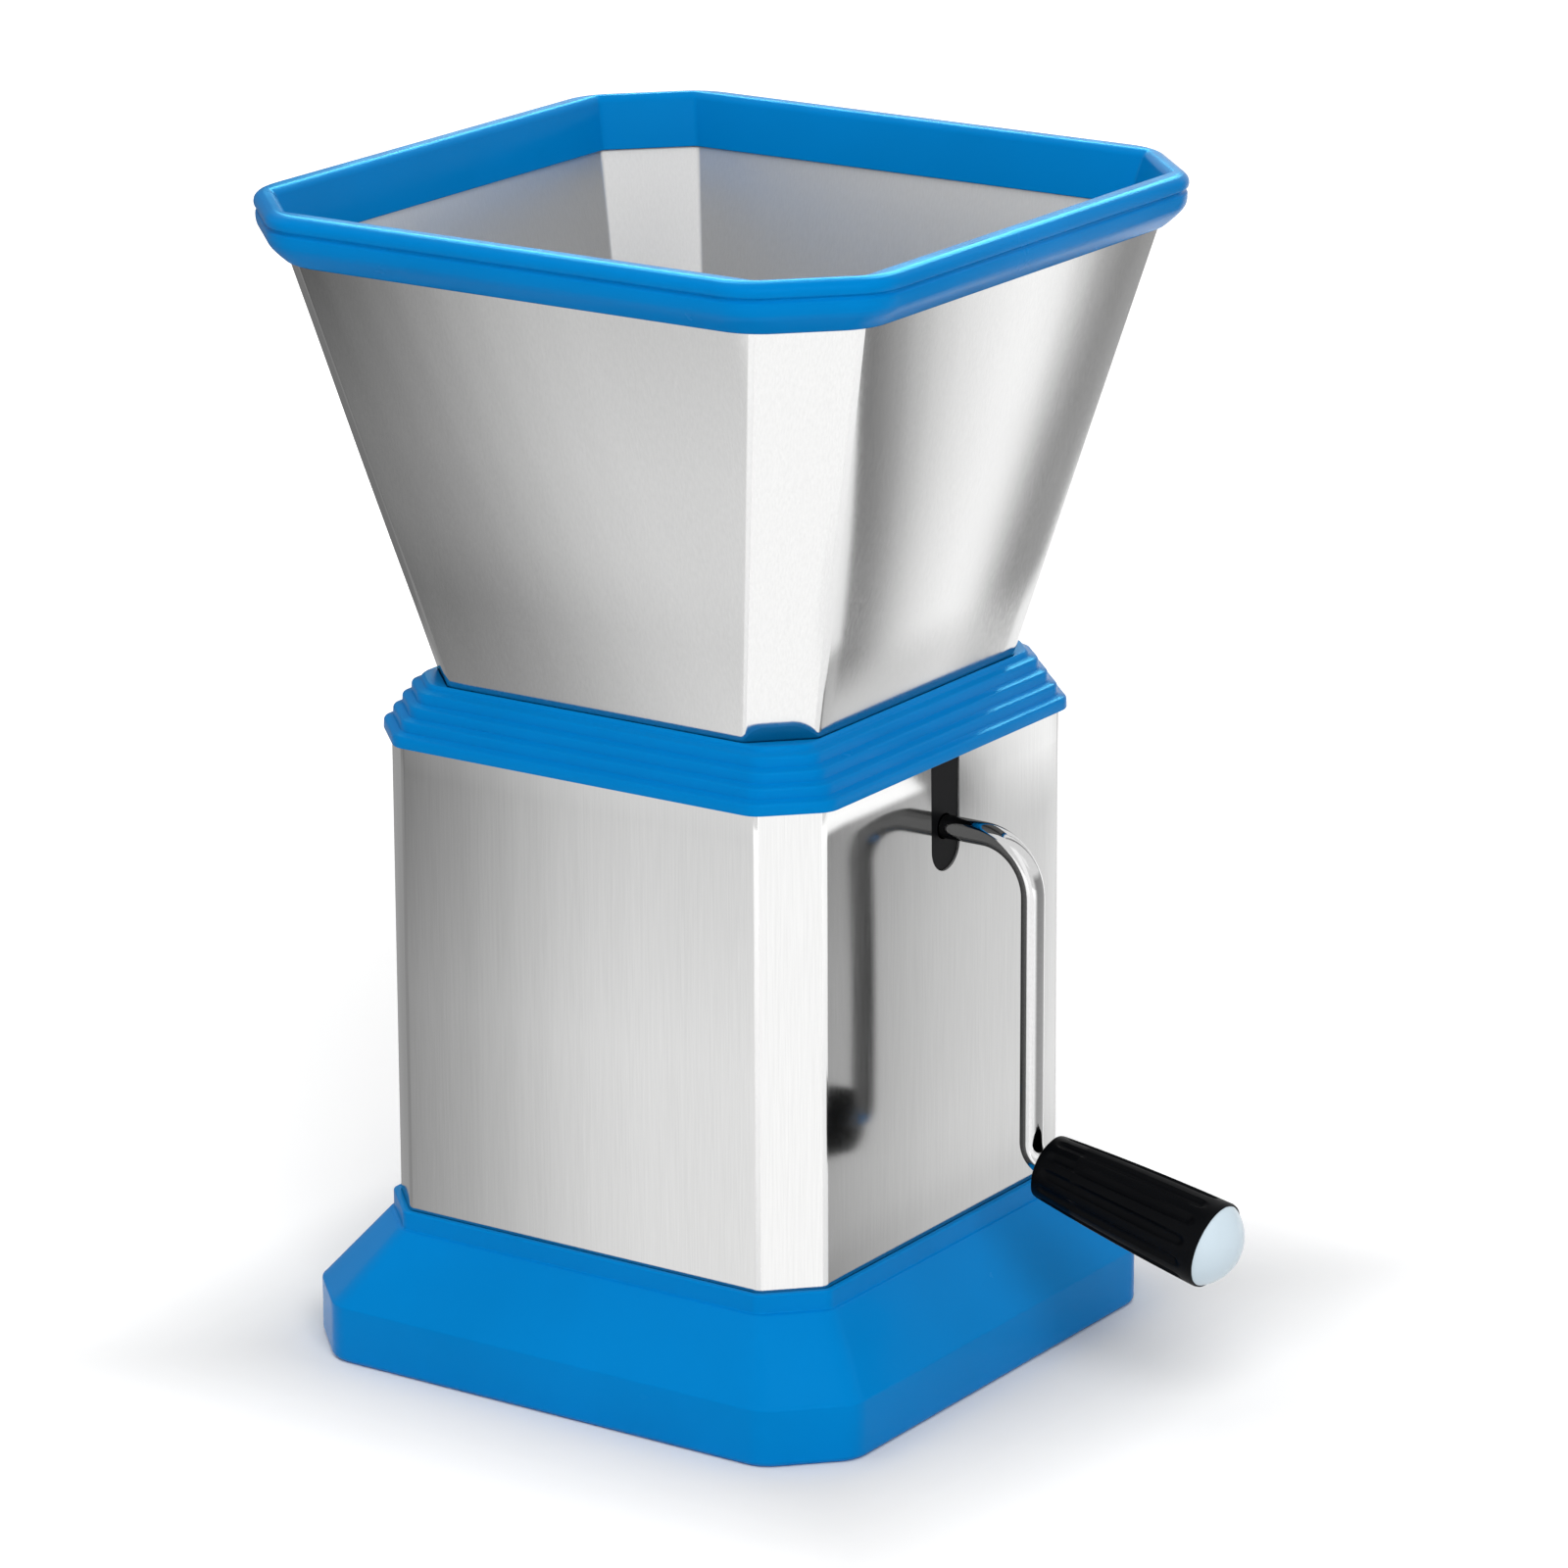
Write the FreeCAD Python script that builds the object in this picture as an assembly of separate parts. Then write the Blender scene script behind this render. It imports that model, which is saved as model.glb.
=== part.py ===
import FreeCAD, Part
import math
import os

V = FreeCAD.Vector

# ---------------------------------------------------------------- driving dimensions (mm)
# Origin: centre of the base's bottom face. +Z up, +X out of the crank's face.
# An outline is an octagon: half width across the flats, and the leg of its corner chamfer.

# container
body_half = 55.0
body_leg = 10.1
body_top = 136.5
slot_width = 10.8
slot_bottom = body_top - 25.8

# sheet metal
sheet = 0.7
bend_radius = 2.5

# base
base_half = 69.5
base_leg = 14.5
base_band_height = 12.6          # upright band at the floor
base_skirt_top = 27.8
base_skirt_shelf = 2.4           # from the container's face out to the head of the skirt
base_collar_top = 31.9
base_collar_wall = 1.3
base_wall = 2.4
base_floor_top = 29.0
base_floor_thickness = 2.6
base_rib_pitch = 22.0
base_rib_thickness = 1.8
base_rib_recess = 1.2            # all but the two middle ribs stop short of the floor
base_corner_radius = 4.0
rivet_offset = body_half - 22.0
rivet_radius = 2.0
rivet_head_radius = 3.8
rivet_head_height = 1.4

# shoulder ring
ring_overhang = 2.0              # beyond the container's face
ring_half = body_half + ring_overhang
ring_leg = body_leg + 0.8 * ring_overhang
ring_bottom = body_top - 1.4
ring_rib_count = 4
ring_rib_height = 2.25
ring_rib_step = 1.9
ring_tread_rise = 0.5
ring_skirt_bottom = body_top - 10.5
ring_skirt_wall = 1.8
ring_ledge_thickness = 2.4
ring_corner_radius = 3.0
flow_half = body_half - 17.2     # opening through hopper flange, ring ledge and cutter frame
flow_leg = 8.0

# rim
rim_height = 11.4
rim_top = 251.0
rim_half = 78.6
rim_leg = 20.4
rim_lip_wall = 1.2
rim_corner_radius = 5.0

# hopper
hopper_bottom = body_top + 4.5
hopper_top = rim_top - 2.6
neck_z = hopper_bottom + 6.7
neck_half = body_half - 6.65
neck_leg = body_leg + 0.9
brim_z = rim_top - 12.0
brim_half = rim_half - 6.9
brim_leg = rim_leg - 4.8

# cutter frame
axis_z = body_top - 16.2          # height of the crank's shaft
frame_sheet = 1.5
frame_flange_half = body_half - 6.0
frame_flange_leg = 10.0
throat_half_x = body_half - 17.0
throat_half_y = 19.0
throat_leg = 2.0
throat_top = axis_z + 6.9
throat_bottom = body_top - 33.0
frame_screw_x = body_half - 12.4
frame_screw_y = 22.0
frame_screw_radius = 1.5
frame_screw_head_radius = 2.9
frame_screw_head_height = 1.7
frame_nut_flats = 5.5
frame_nut_height = 2.4

# rotor
rod_radius = 2.5
flat_half = 2.05                 # half the distance across the rod's two flats
wheel_count = 7
wheel_pitch = (throat_half_x - 11.0) * 2 / (wheel_count - 1)
wheel_thickness = 3.0
wheel_tip_radius = 13.2
wheel_root_radius = 6.4
wheel_teeth = 4
wheel_phase_step = 90.0 / 7
spacer_radius = 4.5
collar_radius = 6.0
clamp_nut_flats = 8.0
clamp_nut_height = 4.0
bush_radius = 5.0
bush_flange_radius = 7.0
near_bush_length = 7.5
far_bush_length = 3.6
rod_far_end = -throat_half_x - 4.2
clip_radius = 4.6
spindle_washer_radius = 5.6

# combs
comb_thickness = 1.5
comb_finger_side_gap = 1.0       # between a finger and the wheels beside it
comb_tip_y = 7.2
comb_leg_height = 9.0
comb_rivet_x = 2.5 * wheel_pitch
comb_rivet_radius = 1.2

# slot guide
guide_width = 10.2
guide_plate_half = 9.0
guide_plate_thickness = 2.5
guide_housing_half_y = 12.5
guide_housing_half_z = 6.5
guide_screw_y = 9.4
guide_screw_radius = 1.1
guide_screw_bite = 8.0

# crank arm and grip
bend_one_radius = 12.0
bend_one_x = body_half + 9.7
arm_foot_z = axis_z - 65.3
bend_two_radius = 4.6
droop_deg = 13.0
grip_length = 42.0
grip_radius_near = 7.0
grip_radius_far = 9.4
grip_bulge = 0.35
grip_flutes = 12
grip_flute_radius = 1.5
grip_stand_off = 0.4
spindle_length = 36.0
counterbore_from = 30.0
cap_height = 5.2
cap_radius = 8.9
cap_edge = 1.2                   # height of the cap's conical edge, seated in the grip
cap_plug_radius = 6.5
cap_plug_length = 3.5

# clearances
fit_gap = 0.1                    # between pieces that are fixed together
body_gap = 0.3                   # between pieces that move apart
run_gap = 0.06                   # rod in its bushes and in the grip
cut_past = 5.0                   # how far a cut runs beyond the piece it goes through

ledge_bottom = hopper_bottom - ring_ledge_thickness
flange_bottom = ledge_bottom - frame_sheet
base_skirt_top_half = body_half + base_skirt_shelf

os.makedirs("parts", exist_ok=True)


# ---------------------------------------------------------------- helpers
def write(name, shape):
    shape.exportStep("parts/" + name + ".step")


def inset(half, leg, distance):
    """Outline moved in by a distance; a negative distance moves it out."""
    return half - distance, leg - distance * (2 - math.sqrt(2))


def outline(half, leg, z, radius, half_y=None):
    """Octagonal wire with rounded corners."""
    hx = half
    hy = half if half_y is None else half_y
    corners = [(-hx + leg, -hy), (hx - leg, -hy), (hx, -hy + leg), (hx, hy - leg),
               (hx - leg, hy), (-hx + leg, hy), (-hx, hy - leg), (-hx, -hy + leg)]
    corners = [V(x, y, z) for x, y in corners]
    if radius == 0:
        return Part.makePolygon(corners + [corners[0]])
    trim = radius * math.tan(math.radians(22.5))
    edges = []
    for i in range(8):
        before, here, after = corners[i - 1], corners[i], corners[(i + 1) % 8]
        away_in = (before - here).normalize()
        away_out = (after - here).normalize()
        start = here + away_in * trim
        end = here + away_out * trim
        bisector = (away_in + away_out).normalize()
        middle = here + bisector * (radius / math.cos(math.radians(22.5)) - radius)
        following = corners[(i + 1) % 8]
        edges.append(Part.Arc(start, middle, end).toShape())
        edges.append(Part.makeLine(end, following - away_out * trim))
    return Part.Wire(edges)


def stack(sections, radius):
    """Solid through a list of (half, leg, z) outlines."""
    return Part.makeLoft([outline(h, l, z, radius) for h, l, z in sections], True, True)


def disc(radius, x_from, x_to, y=0.0, z=axis_z):
    """Round bar along X."""
    return Part.makeCylinder(radius, x_to - x_from, V(x_from, y, z), V(1, 0, 0))


def post(radius, x, y, z_from, z_to):
    """Round bar along Z."""
    return Part.makeCylinder(radius, z_to - z_from, V(x, y, z_from), V(0, 0, 1))


def four(shape_at, x, y):
    return [shape_at(sx * x, sy * y) for sx in (-1, 1) for sy in (-1, 1)]


def dome(radius, height, centre, direction):
    """Rounded head whose flat side lies at the centre given."""
    ball_radius = (radius * radius + height * height) / (2 * height)
    ball = Part.makeSphere(ball_radius, centre + direction * (height - ball_radius))
    return ball.common(Part.makeCylinder(radius, height, centre, direction))


def hexagon(across_flats, height, centre, direction, hole_radius):
    """Hexagonal nut with a chamfered crown."""
    corner = across_flats / math.sqrt(3)
    points = [V(corner * math.cos(math.radians(60 * i)), corner * math.sin(math.radians(60 * i)), 0)
              for i in range(7)]
    nut = Part.Face(Part.makePolygon(points)).extrude(V(0, 0, height))
    crown = Part.makeCone(corner + height, across_flats / 2 - 0.1, height + 0.3)
    nut = nut.common(crown).cut(Part.makeCylinder(hole_radius, height + 2, V(0, 0, -1)))
    nut.Placement = FreeCAD.Placement(centre, FreeCAD.Rotation(V(0, 0, 1), direction))
    return nut


# ---------------------------------------------------------------- container: base
band_foot = inset(base_half, base_leg, 0.9)
skirt_top_leg = base_leg - (base_half - base_skirt_top_half) * 0.27
collar_inner = inset(body_half, body_leg, -body_gap)
collar_outer = inset(body_half, body_leg, -body_gap - base_collar_wall)

base_outer = stack([(band_foot[0], band_foot[1], 0), (base_half, base_leg, 0.9),
                    (base_half, base_leg, base_band_height),
                    (base_skirt_top_half, skirt_top_leg, base_skirt_top)], base_corner_radius)
collar = stack([(collar_outer[0], collar_outer[1], base_skirt_top - 1.0),
                (collar_outer[0], collar_outer[1], base_collar_top - 0.5),
                (collar_outer[0] - 0.5, collar_outer[1], base_collar_top)], ring_corner_radius)
recess = stack([(collar_inner[0], collar_inner[1], base_floor_top),
                (collar_inner[0], collar_inner[1], base_collar_top + 1)], bend_radius + body_gap)
cavity_foot = inset(base_half, base_leg, base_wall)
cavity_head_z = base_floor_top - base_floor_thickness
skirt_slope = (base_half - base_skirt_top_half) / (base_skirt_top - base_band_height)
cavity_head_half = base_half - skirt_slope * (cavity_head_z - base_band_height) - base_wall
cavity = stack([(cavity_foot[0], cavity_foot[1], -1),
                (cavity_foot[0], cavity_foot[1], base_band_height - 1.0),
                (cavity_head_half, skirt_top_leg, cavity_head_z)], base_corner_radius - 1.5)
plinth = base_outer.fuse(collar).cut(recess).cut(cavity)

ribs = []
reach = cavity_foot[0] + 1
for i in range(-2, 3):
    lift = 0 if i == 0 else base_rib_recess
    depth = cavity_head_z - lift + 0.5
    at = i * base_rib_pitch - base_rib_thickness / 2
    ribs.append(Part.makeBox(base_rib_thickness, 2 * reach, depth, V(at, -reach, lift)))
    ribs.append(Part.makeBox(2 * reach, base_rib_thickness, depth, V(-reach, at, lift)))
rib_grid = ribs[0].multiFuse(ribs[1:]).common(base_outer)
plinth = plinth.fuse(rib_grid)
rivet_holes = four(lambda x, y: post(rivet_radius + fit_gap, x, y, cavity_head_z - base_wall,
                                     base_floor_top + base_wall), rivet_offset, rivet_offset)
for hole in rivet_holes:
    plinth = plinth.cut(hole)
write("plinth_base", plinth.removeSplitter())

# ---------------------------------------------------------------- container: steel shell
shell_inner = inset(body_half, body_leg, sheet)
shell = stack([(body_half, body_leg, base_floor_top), (body_half, body_leg, body_top)], bend_radius)
shell = shell.cut(stack([(shell_inner[0], shell_inner[1], base_floor_top + sheet),
                         (shell_inner[0], shell_inner[1], body_top + 1)], bend_radius - sheet))
slot_round_z = slot_bottom + slot_width / 2
slot = Part.makeBox(2 * cut_past, slot_width, body_top - slot_round_z + 1,
                    V(body_half - cut_past, -slot_width / 2, slot_round_z))
slot = slot.fuse(disc(slot_width / 2, body_half - cut_past, body_half + cut_past, 0, slot_round_z))
shell = shell.cut(slot)
for hole in rivet_holes:
    shell = shell.cut(hole)
write("container_shell", shell)


def base_rivet(x, y):
    shank = post(rivet_radius, x, y, cavity_head_z, base_floor_top + sheet)
    upper = dome(rivet_head_radius, rivet_head_height, V(x, y, base_floor_top + sheet), V(0, 0, 1))
    lower = dome(rivet_head_radius, rivet_head_height, V(x, y, cavity_head_z), V(0, 0, -1))
    return shank.fuse([upper, lower]).removeSplitter()


write("base_rivets", Part.makeCompound(four(base_rivet, rivet_offset, rivet_offset)))

# ---------------------------------------------------------------- hopper unit: hopper shell
hopper_slope = (brim_half - neck_half) / (brim_z - neck_z)
hopper_leg_slope = (brim_leg - neck_leg) / (brim_z - neck_z)


def hopper_at(z, distance=0.0):
    """Outline of the hopper's outer face at a height, moved in by a distance."""
    half = neck_half + hopper_slope * (z - neck_z)
    leg = neck_leg + hopper_leg_slope * (z - neck_z)
    return inset(half, leg, distance) + (z,)


hopper = stack([hopper_at(hopper_bottom), hopper_at(hopper_top)], bend_radius)
hopper = hopper.cut(stack([hopper_at(hopper_bottom + sheet, sheet), hopper_at(hopper_top + 1, sheet)],
                          bend_radius - sheet))
flow = stack([(flow_half, flow_leg, flange_bottom - cut_past), (flow_half, flow_leg, hopper_bottom + cut_past)],
             bend_radius)
hopper = hopper.cut(flow)
screw_holes = four(lambda x, y: post(frame_screw_radius + fit_gap, x, y, flange_bottom - frame_sheet,
                                     hopper_bottom + 2 * sheet), frame_screw_x, frame_screw_y)
for hole in screw_holes:
    hopper = hopper.cut(hole)
write("hopper_shell", hopper)

# ---------------------------------------------------------------- hopper unit: rim
rim_bottom = rim_top - rim_height
rim_profile = [(0.0, 5.2), (0.4, 4.4), (1.4, 3.3), (2.6, 2.1), (3.6, 1.2), (4.6, 0.6), (5.8, 0.35),
               (7.1, 0.35), (7.6, 0.85), (7.9, 0.85), (8.4, 0.15), (9.2, 0.0), (10.1, 0.2),
               (10.9, 0.9), (rim_height, 2.0)]      # height above the rim's foot, inset
rim = stack([inset(rim_half, rim_leg, d) + (rim_bottom + z,) for z, d in rim_profile], rim_corner_radius)
lip = sheet + rim_lip_wall
rim = rim.cut(stack([hopper_at(rim_bottom - 1, lip), hopper_at(rim_bottom + 0.8, lip),
                     hopper_at(rim_top - 1.0, lip), hopper_at(rim_top, lip - 0.9),
                     hopper_at(rim_top + 1, lip - 1.8)], 1.6))
rim_groove = stack([hopper_at(rim_bottom - 1, -fit_gap), hopper_at(hopper_top, -fit_gap)], bend_radius + fit_gap)
rim_groove = rim_groove.cut(stack([hopper_at(rim_bottom - 2, sheet + fit_gap),
                                   hopper_at(hopper_top + 1, sheet + fit_gap)], bend_radius - sheet - fit_gap))
rim = rim.cut(rim_groove)
write("top_rim", rim)

# ---------------------------------------------------------------- hopper unit: shoulder ring
ring_sections = [inset(ring_half, ring_leg, 0.6) + (ring_bottom,), (ring_half, ring_leg, ring_bottom + 0.6)]
z = ring_bottom + 0.6
step = 0.0
for i in range(ring_rib_count):
    rise = ring_rib_height if i else ring_rib_height - 0.3
    z += rise
    ring_sections.append(inset(ring_half, ring_leg, step + 0.15) + (z,))
    z += ring_tread_rise
    step += ring_rib_step
    ring_sections.append(inset(ring_half, ring_leg, step) + (z,))
ring_top = z + 1.0
ring_sections.append(inset(ring_half, ring_leg, step + 0.2) + (z + 0.6,))
ring_sections.append(inset(ring_half, ring_leg, step + 0.6) + (ring_top,))
ring = stack(ring_sections, ring_corner_radius)
skirt_outer = inset(body_half, body_leg, sheet + 0.6)
skirt_inner = inset(body_half, body_leg, sheet + 0.6 + ring_skirt_wall)
ring = ring.fuse(stack([(skirt_outer[0] - 0.5, skirt_outer[1], ring_skirt_bottom),
                        (skirt_outer[0], skirt_outer[1], ring_skirt_bottom + 1.5),
                        (skirt_outer[0], skirt_outer[1], body_top + 1)], bend_radius - sheet))
ring = ring.cut(stack([(skirt_inner[0], skirt_inner[1], ring_skirt_bottom - 1),
                       (skirt_inner[0], skirt_inner[1], ledge_bottom)], 1.0))
ring = ring.cut(stack([hopper_at(hopper_bottom, -fit_gap), hopper_at(ring_top + 1, -fit_gap)],
                      bend_radius + fit_gap))
ring = ring.cut(flow)
channel = stack([inset(body_half, body_leg, -0.4) + (ring_bottom - 1,),
                 inset(body_half, body_leg, -0.4) + (body_top,)], bend_radius + 0.4)
channel = channel.cut(stack([skirt_outer + (ring_bottom - 2,), skirt_outer + (body_top + 1,)],
                            bend_radius - sheet))
ring = ring.cut(channel)
notch_half = guide_plate_half + body_gap
guide_back = body_half - sheet - 0.5 - guide_plate_thickness
ring = ring.cut(Part.makeBox(body_half + 0.4 - guide_back + 0.2, 2 * notch_half, body_top - ring_skirt_bottom + 1,
                             V(guide_back - 0.2, -notch_half, ring_skirt_bottom - 1)).cut(
                Part.makeBox(cut_past, 4 * notch_half, body_top - ring_bottom + cut_past,
                             V(body_half + 0.4, -2 * notch_half, ring_bottom - 1))))
for hole in screw_holes:
    ring = ring.cut(hole)
write("shoulder_ring", ring.removeSplitter())

# ---------------------------------------------------------------- hopper unit: cutter frame
throat_in_x = throat_half_x - frame_sheet
throat_in_y = throat_half_y - frame_sheet


def funnel(flow_h, flow_l, top_z, half_x, half_y, leg, bottom_z):
    upper = outline(flow_h, flow_l, top_z, 0)
    lower = outline(half_x, leg, bottom_z, 0, half_y)
    return Part.makeLoft([upper, lower], True, True)


frame = funnel(flow_half + frame_sheet, flow_leg + 0.6, flange_bottom, throat_half_x, throat_half_y, throat_leg,
               throat_top)
frame = frame.fuse([
    Part.Face(outline(frame_flange_half, frame_flange_leg, flange_bottom, 3.0)).extrude(V(0, 0, frame_sheet)),
    Part.Face(outline(throat_half_x, throat_leg, throat_bottom, 0, throat_half_y)).extrude(
        V(0, 0, throat_top - throat_bottom))])
frame = frame.cut(funnel(flow_half, flow_leg, flange_bottom, throat_in_x, throat_in_y, 1.0, throat_top))
frame = frame.cut(Part.Face(outline(flow_half, flow_leg, flange_bottom, bend_radius)).extrude(V(0, 0, cut_past)))
frame = frame.cut(Part.Face(outline(throat_in_x, 1.0, throat_bottom - 1, 0, throat_in_y)).extrude(
    V(0, 0, throat_top - throat_bottom + 1)))
frame = frame.cut(disc(bush_radius + fit_gap, -throat_half_x - cut_past, throat_half_x + cut_past))
for hole in screw_holes:
    frame = frame.cut(hole)
comb_rivet_z = axis_z - comb_leg_height + 2.6
for side in (-1, 1):
    frame = frame.cut(disc(guide_screw_radius + fit_gap, throat_in_x - 1, throat_half_x + 1, side * guide_screw_y))
    start = V(side * comb_rivet_x, -throat_half_y - cut_past, comb_rivet_z)
    frame = frame.cut(Part.makeCylinder(comb_rivet_radius + fit_gap, -2 * start.y, start, V(0, 1, 0)))
write("cutter_frame", frame.removeSplitter())


def frame_screw(x, y):
    head_z = hopper_bottom + sheet
    shank = post(frame_screw_radius, x, y, flange_bottom - frame_nut_height - 0.8, head_z)
    head = dome(frame_screw_head_radius, frame_screw_head_height, V(x, y, head_z), V(0, 0, 1))
    slit = Part.makeBox(3 * frame_screw_head_radius, 0.7, frame_screw_head_height,
                        V(x - 1.5 * frame_screw_head_radius, y - 0.35, head_z + frame_screw_head_height - 0.7))
    return shank.fuse(head).cut(slit).removeSplitter()


def frame_nut(x, y):
    return hexagon(frame_nut_flats, frame_nut_height, V(x, y, flange_bottom), V(0, 0, -1),
                   frame_screw_radius + fit_gap)


write("frame_screws", Part.makeCompound(four(frame_screw, frame_screw_x, frame_screw_y)))
write("frame_nuts", Part.makeCompound(four(frame_nut, frame_screw_x, frame_screw_y)))

# ---------------------------------------------------------------- hopper unit: combs
wheel_reach = wheel_pitch * (wheel_count - 1) / 2
comb_top = axis_z + comb_thickness / 2
comb_edge = wheel_tip_radius + 0.9
comb_finger_width = wheel_pitch - wheel_thickness - 2 * comb_finger_side_gap


def comb():
    """Plate with a finger in each gap between the cutter wheels, and a leg down the throat's wall."""
    length = 2 * (throat_in_x - 1.2)
    low = comb_top - comb_thickness
    plate = Part.makeBox(length, throat_in_y - comb_edge, comb_thickness, V(-length / 2, -throat_in_y, low))
    leg = Part.makeBox(length, comb_thickness, comb_leg_height,
                       V(-length / 2, -throat_in_y, comb_top - comb_leg_height))
    pieces = [leg]
    for i in range(wheel_count + 1):
        x = -wheel_reach - wheel_pitch / 2 + i * wheel_pitch
        half = comb_finger_width / 2
        root = comb_edge + 0.5
        points = [V(x - half, -root, low), V(x + half, -root, low), V(x + half, -comb_tip_y - 1.5, low),
                  V(x + half - 1.0, -comb_tip_y, low), V(x - half + 1.0, -comb_tip_y, low),
                  V(x - half, -comb_tip_y - 1.5, low), V(x - half, -root, low)]
        pieces.append(Part.Face(Part.makePolygon(points)).extrude(V(0, 0, comb_thickness)))
    whole = plate.fuse(pieces)
    for side in (-1, 1):
        start = V(side * comb_rivet_x, -throat_half_y, comb_rivet_z)
        whole = whole.cut(Part.makeCylinder(comb_rivet_radius + fit_gap, throat_half_y, start, V(0, 1, 0)))
    return whole.removeSplitter()


front_comb = comb()
rear_comb = front_comb.copy()
rear_comb.rotate(V(0, 0, 0), V(0, 0, 1), 180)
write("front_comb", front_comb)
write("rear_comb", rear_comb)


def comb_rivet(x, side):
    side = math.copysign(1, side)
    out = V(0, side, 0)
    inner = V(x, side * (throat_in_y - comb_thickness), comb_rivet_z)
    outer = V(x, side * throat_half_y, comb_rivet_z)
    shank = Part.makeCylinder(comb_rivet_radius, comb_thickness + frame_sheet, inner, out)
    return shank.fuse([dome(2.2, 0.8, inner, V(0, -side, 0)), dome(2.2, 0.9, outer, out)]).removeSplitter()


write("comb_rivets", Part.makeCompound(four(comb_rivet, comb_rivet_x, 1)))

# ---------------------------------------------------------------- hopper unit: bushes and slot guide
bush_flange = 1.6
near_bush_end = throat_in_x + near_bush_length
bush_face = throat_in_x - bush_flange


def bush(length):
    """Flanged bush; the flange sits on the inner face of the throat's end wall."""
    body = disc(bush_radius, throat_in_x, throat_in_x + length)
    flange = disc(bush_flange_radius, bush_face, throat_in_x)
    bore = disc(rod_radius + run_gap, bush_face - cut_past, throat_in_x + length + cut_past)
    return body.fuse(flange).cut(bore).removeSplitter()


near_bush = bush(near_bush_length)
far_bush = bush(far_bush_length)
far_bush.rotate(V(0, 0, axis_z), V(0, 0, 1), 180)
write("near_bush", near_bush)
write("far_bush", far_bush)

plate_x = guide_back
plate_front = guide_back + guide_plate_thickness
plate_round_z = axis_z - 1.5
plate = Part.makeBox(guide_plate_thickness, 2 * guide_plate_half, body_top - plate_round_z,
                     V(plate_x, -guide_plate_half, plate_round_z))
tongue_depth = body_half - 0.1 - plate_front
guide_half = guide_width / 2
guide_round_z = slot_bottom + body_gap + guide_half
housing_length = plate_x - throat_half_x
housing_ear = guide_housing_half_y - guide_housing_half_z
housing = Part.makeBox(housing_length, 2 * housing_ear, 2 * guide_housing_half_z,
                       V(throat_half_x, -housing_ear, axis_z - guide_housing_half_z))
guide = plate.fuse([
    disc(guide_plate_half, plate_x, plate_front, 0, plate_round_z),
    Part.makeBox(tongue_depth, guide_width, body_top - guide_round_z, V(plate_front, -guide_half, guide_round_z)),
    disc(guide_half, plate_front, plate_front + tongue_depth, 0, guide_round_z),
    housing,
    disc(guide_housing_half_z, throat_half_x, plate_x, housing_ear),
    disc(guide_housing_half_z, throat_half_x, plate_x, -housing_ear)])
guide = guide.cut(disc(bush_radius + fit_gap, throat_half_x - 1, near_bush_end + fit_gap))
guide = guide.cut(disc(rod_radius + body_gap, near_bush_end, body_half + 2))
for side in (-1, 1):
    guide = guide.cut(disc(guide_screw_radius + fit_gap, throat_half_x - 1, throat_half_x + guide_screw_bite + 0.5,
                           side * guide_screw_y))
write("slot_guide", guide.removeSplitter())

guide_screws = []
for side in (-1, 1):
    shank = disc(guide_screw_radius, throat_in_x, throat_half_x + guide_screw_bite, side * guide_screw_y)
    head = dome(2.0, 1.2, V(throat_in_x, side * guide_screw_y, axis_z), V(-1, 0, 0))
    slit = Part.makeBox(1, 0.5, 5, V(throat_in_x - 1.7, side * guide_screw_y - 0.25, axis_z - 2.5))
    guide_screws.append(shank.fuse(head).cut(slit).removeSplitter())
write("guide_screws", Part.makeCompound(guide_screws))

# ---------------------------------------------------------------- rotor: crank rod
droop = math.radians(droop_deg)
out_dir = V(math.cos(droop), 0, -math.sin(droop))
arm_x = bend_one_x + bend_one_radius
bend_one_centre = V(bend_one_x, 0, axis_z - bend_one_radius)
bend_two_centre = V(arm_x + bend_two_radius, 0, arm_foot_z)


def around(centre, radius, degrees):
    angle = math.radians(degrees)
    return centre + V(radius * math.cos(angle), 0, radius * math.sin(angle))


sweep_end = 270 - droop_deg
spindle_start = around(bend_two_centre, bend_two_radius, sweep_end)
grip_start = spindle_start + out_dir * grip_stand_off
spindle_end = grip_start + out_dir * spindle_length
path = Part.Wire([
    Part.makeLine(V(rod_far_end, 0, axis_z), V(bend_one_x, 0, axis_z)),
    Part.Arc(V(bend_one_x, 0, axis_z), around(bend_one_centre, bend_one_radius, 45),
             V(arm_x, 0, bend_one_centre.z)).toShape(),
    Part.makeLine(V(arm_x, 0, bend_one_centre.z), V(arm_x, 0, arm_foot_z)),
    Part.Arc(V(arm_x, 0, arm_foot_z), around(bend_two_centre, bend_two_radius, (180 + sweep_end) / 2),
             spindle_start).toShape(),
    Part.makeLine(spindle_start, spindle_end)])
section = Part.Wire(Part.makeCircle(rod_radius, V(rod_far_end, 0, axis_z), V(1, 0, 0)))
rod = path.makePipeShell([section], True, False)

flat_from = -wheel_reach - wheel_thickness / 2 - 1.0
flat_to = wheel_reach + wheel_thickness / 2 + 3.0
for side in (-1, 1):
    low = axis_z + flat_half if side > 0 else axis_z - flat_half - rod_radius
    rod = rod.cut(Part.makeBox(flat_to - flat_from, 4 * rod_radius, rod_radius,
                               V(flat_from, -2 * rod_radius, low)))
rod_clip_x = -throat_in_x - far_bush_length - fit_gap
clip_thickness = 0.8
groove_depth = 0.5


def groove_ring(at, direction):
    """Material taken away by a clip's groove."""
    outer = Part.makeCylinder(rod_radius + 1, clip_thickness + 2 * fit_gap, at, direction)
    return outer.cut(Part.makeCylinder(rod_radius - groove_depth, clip_thickness + 2 * fit_gap, at, direction))


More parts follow.
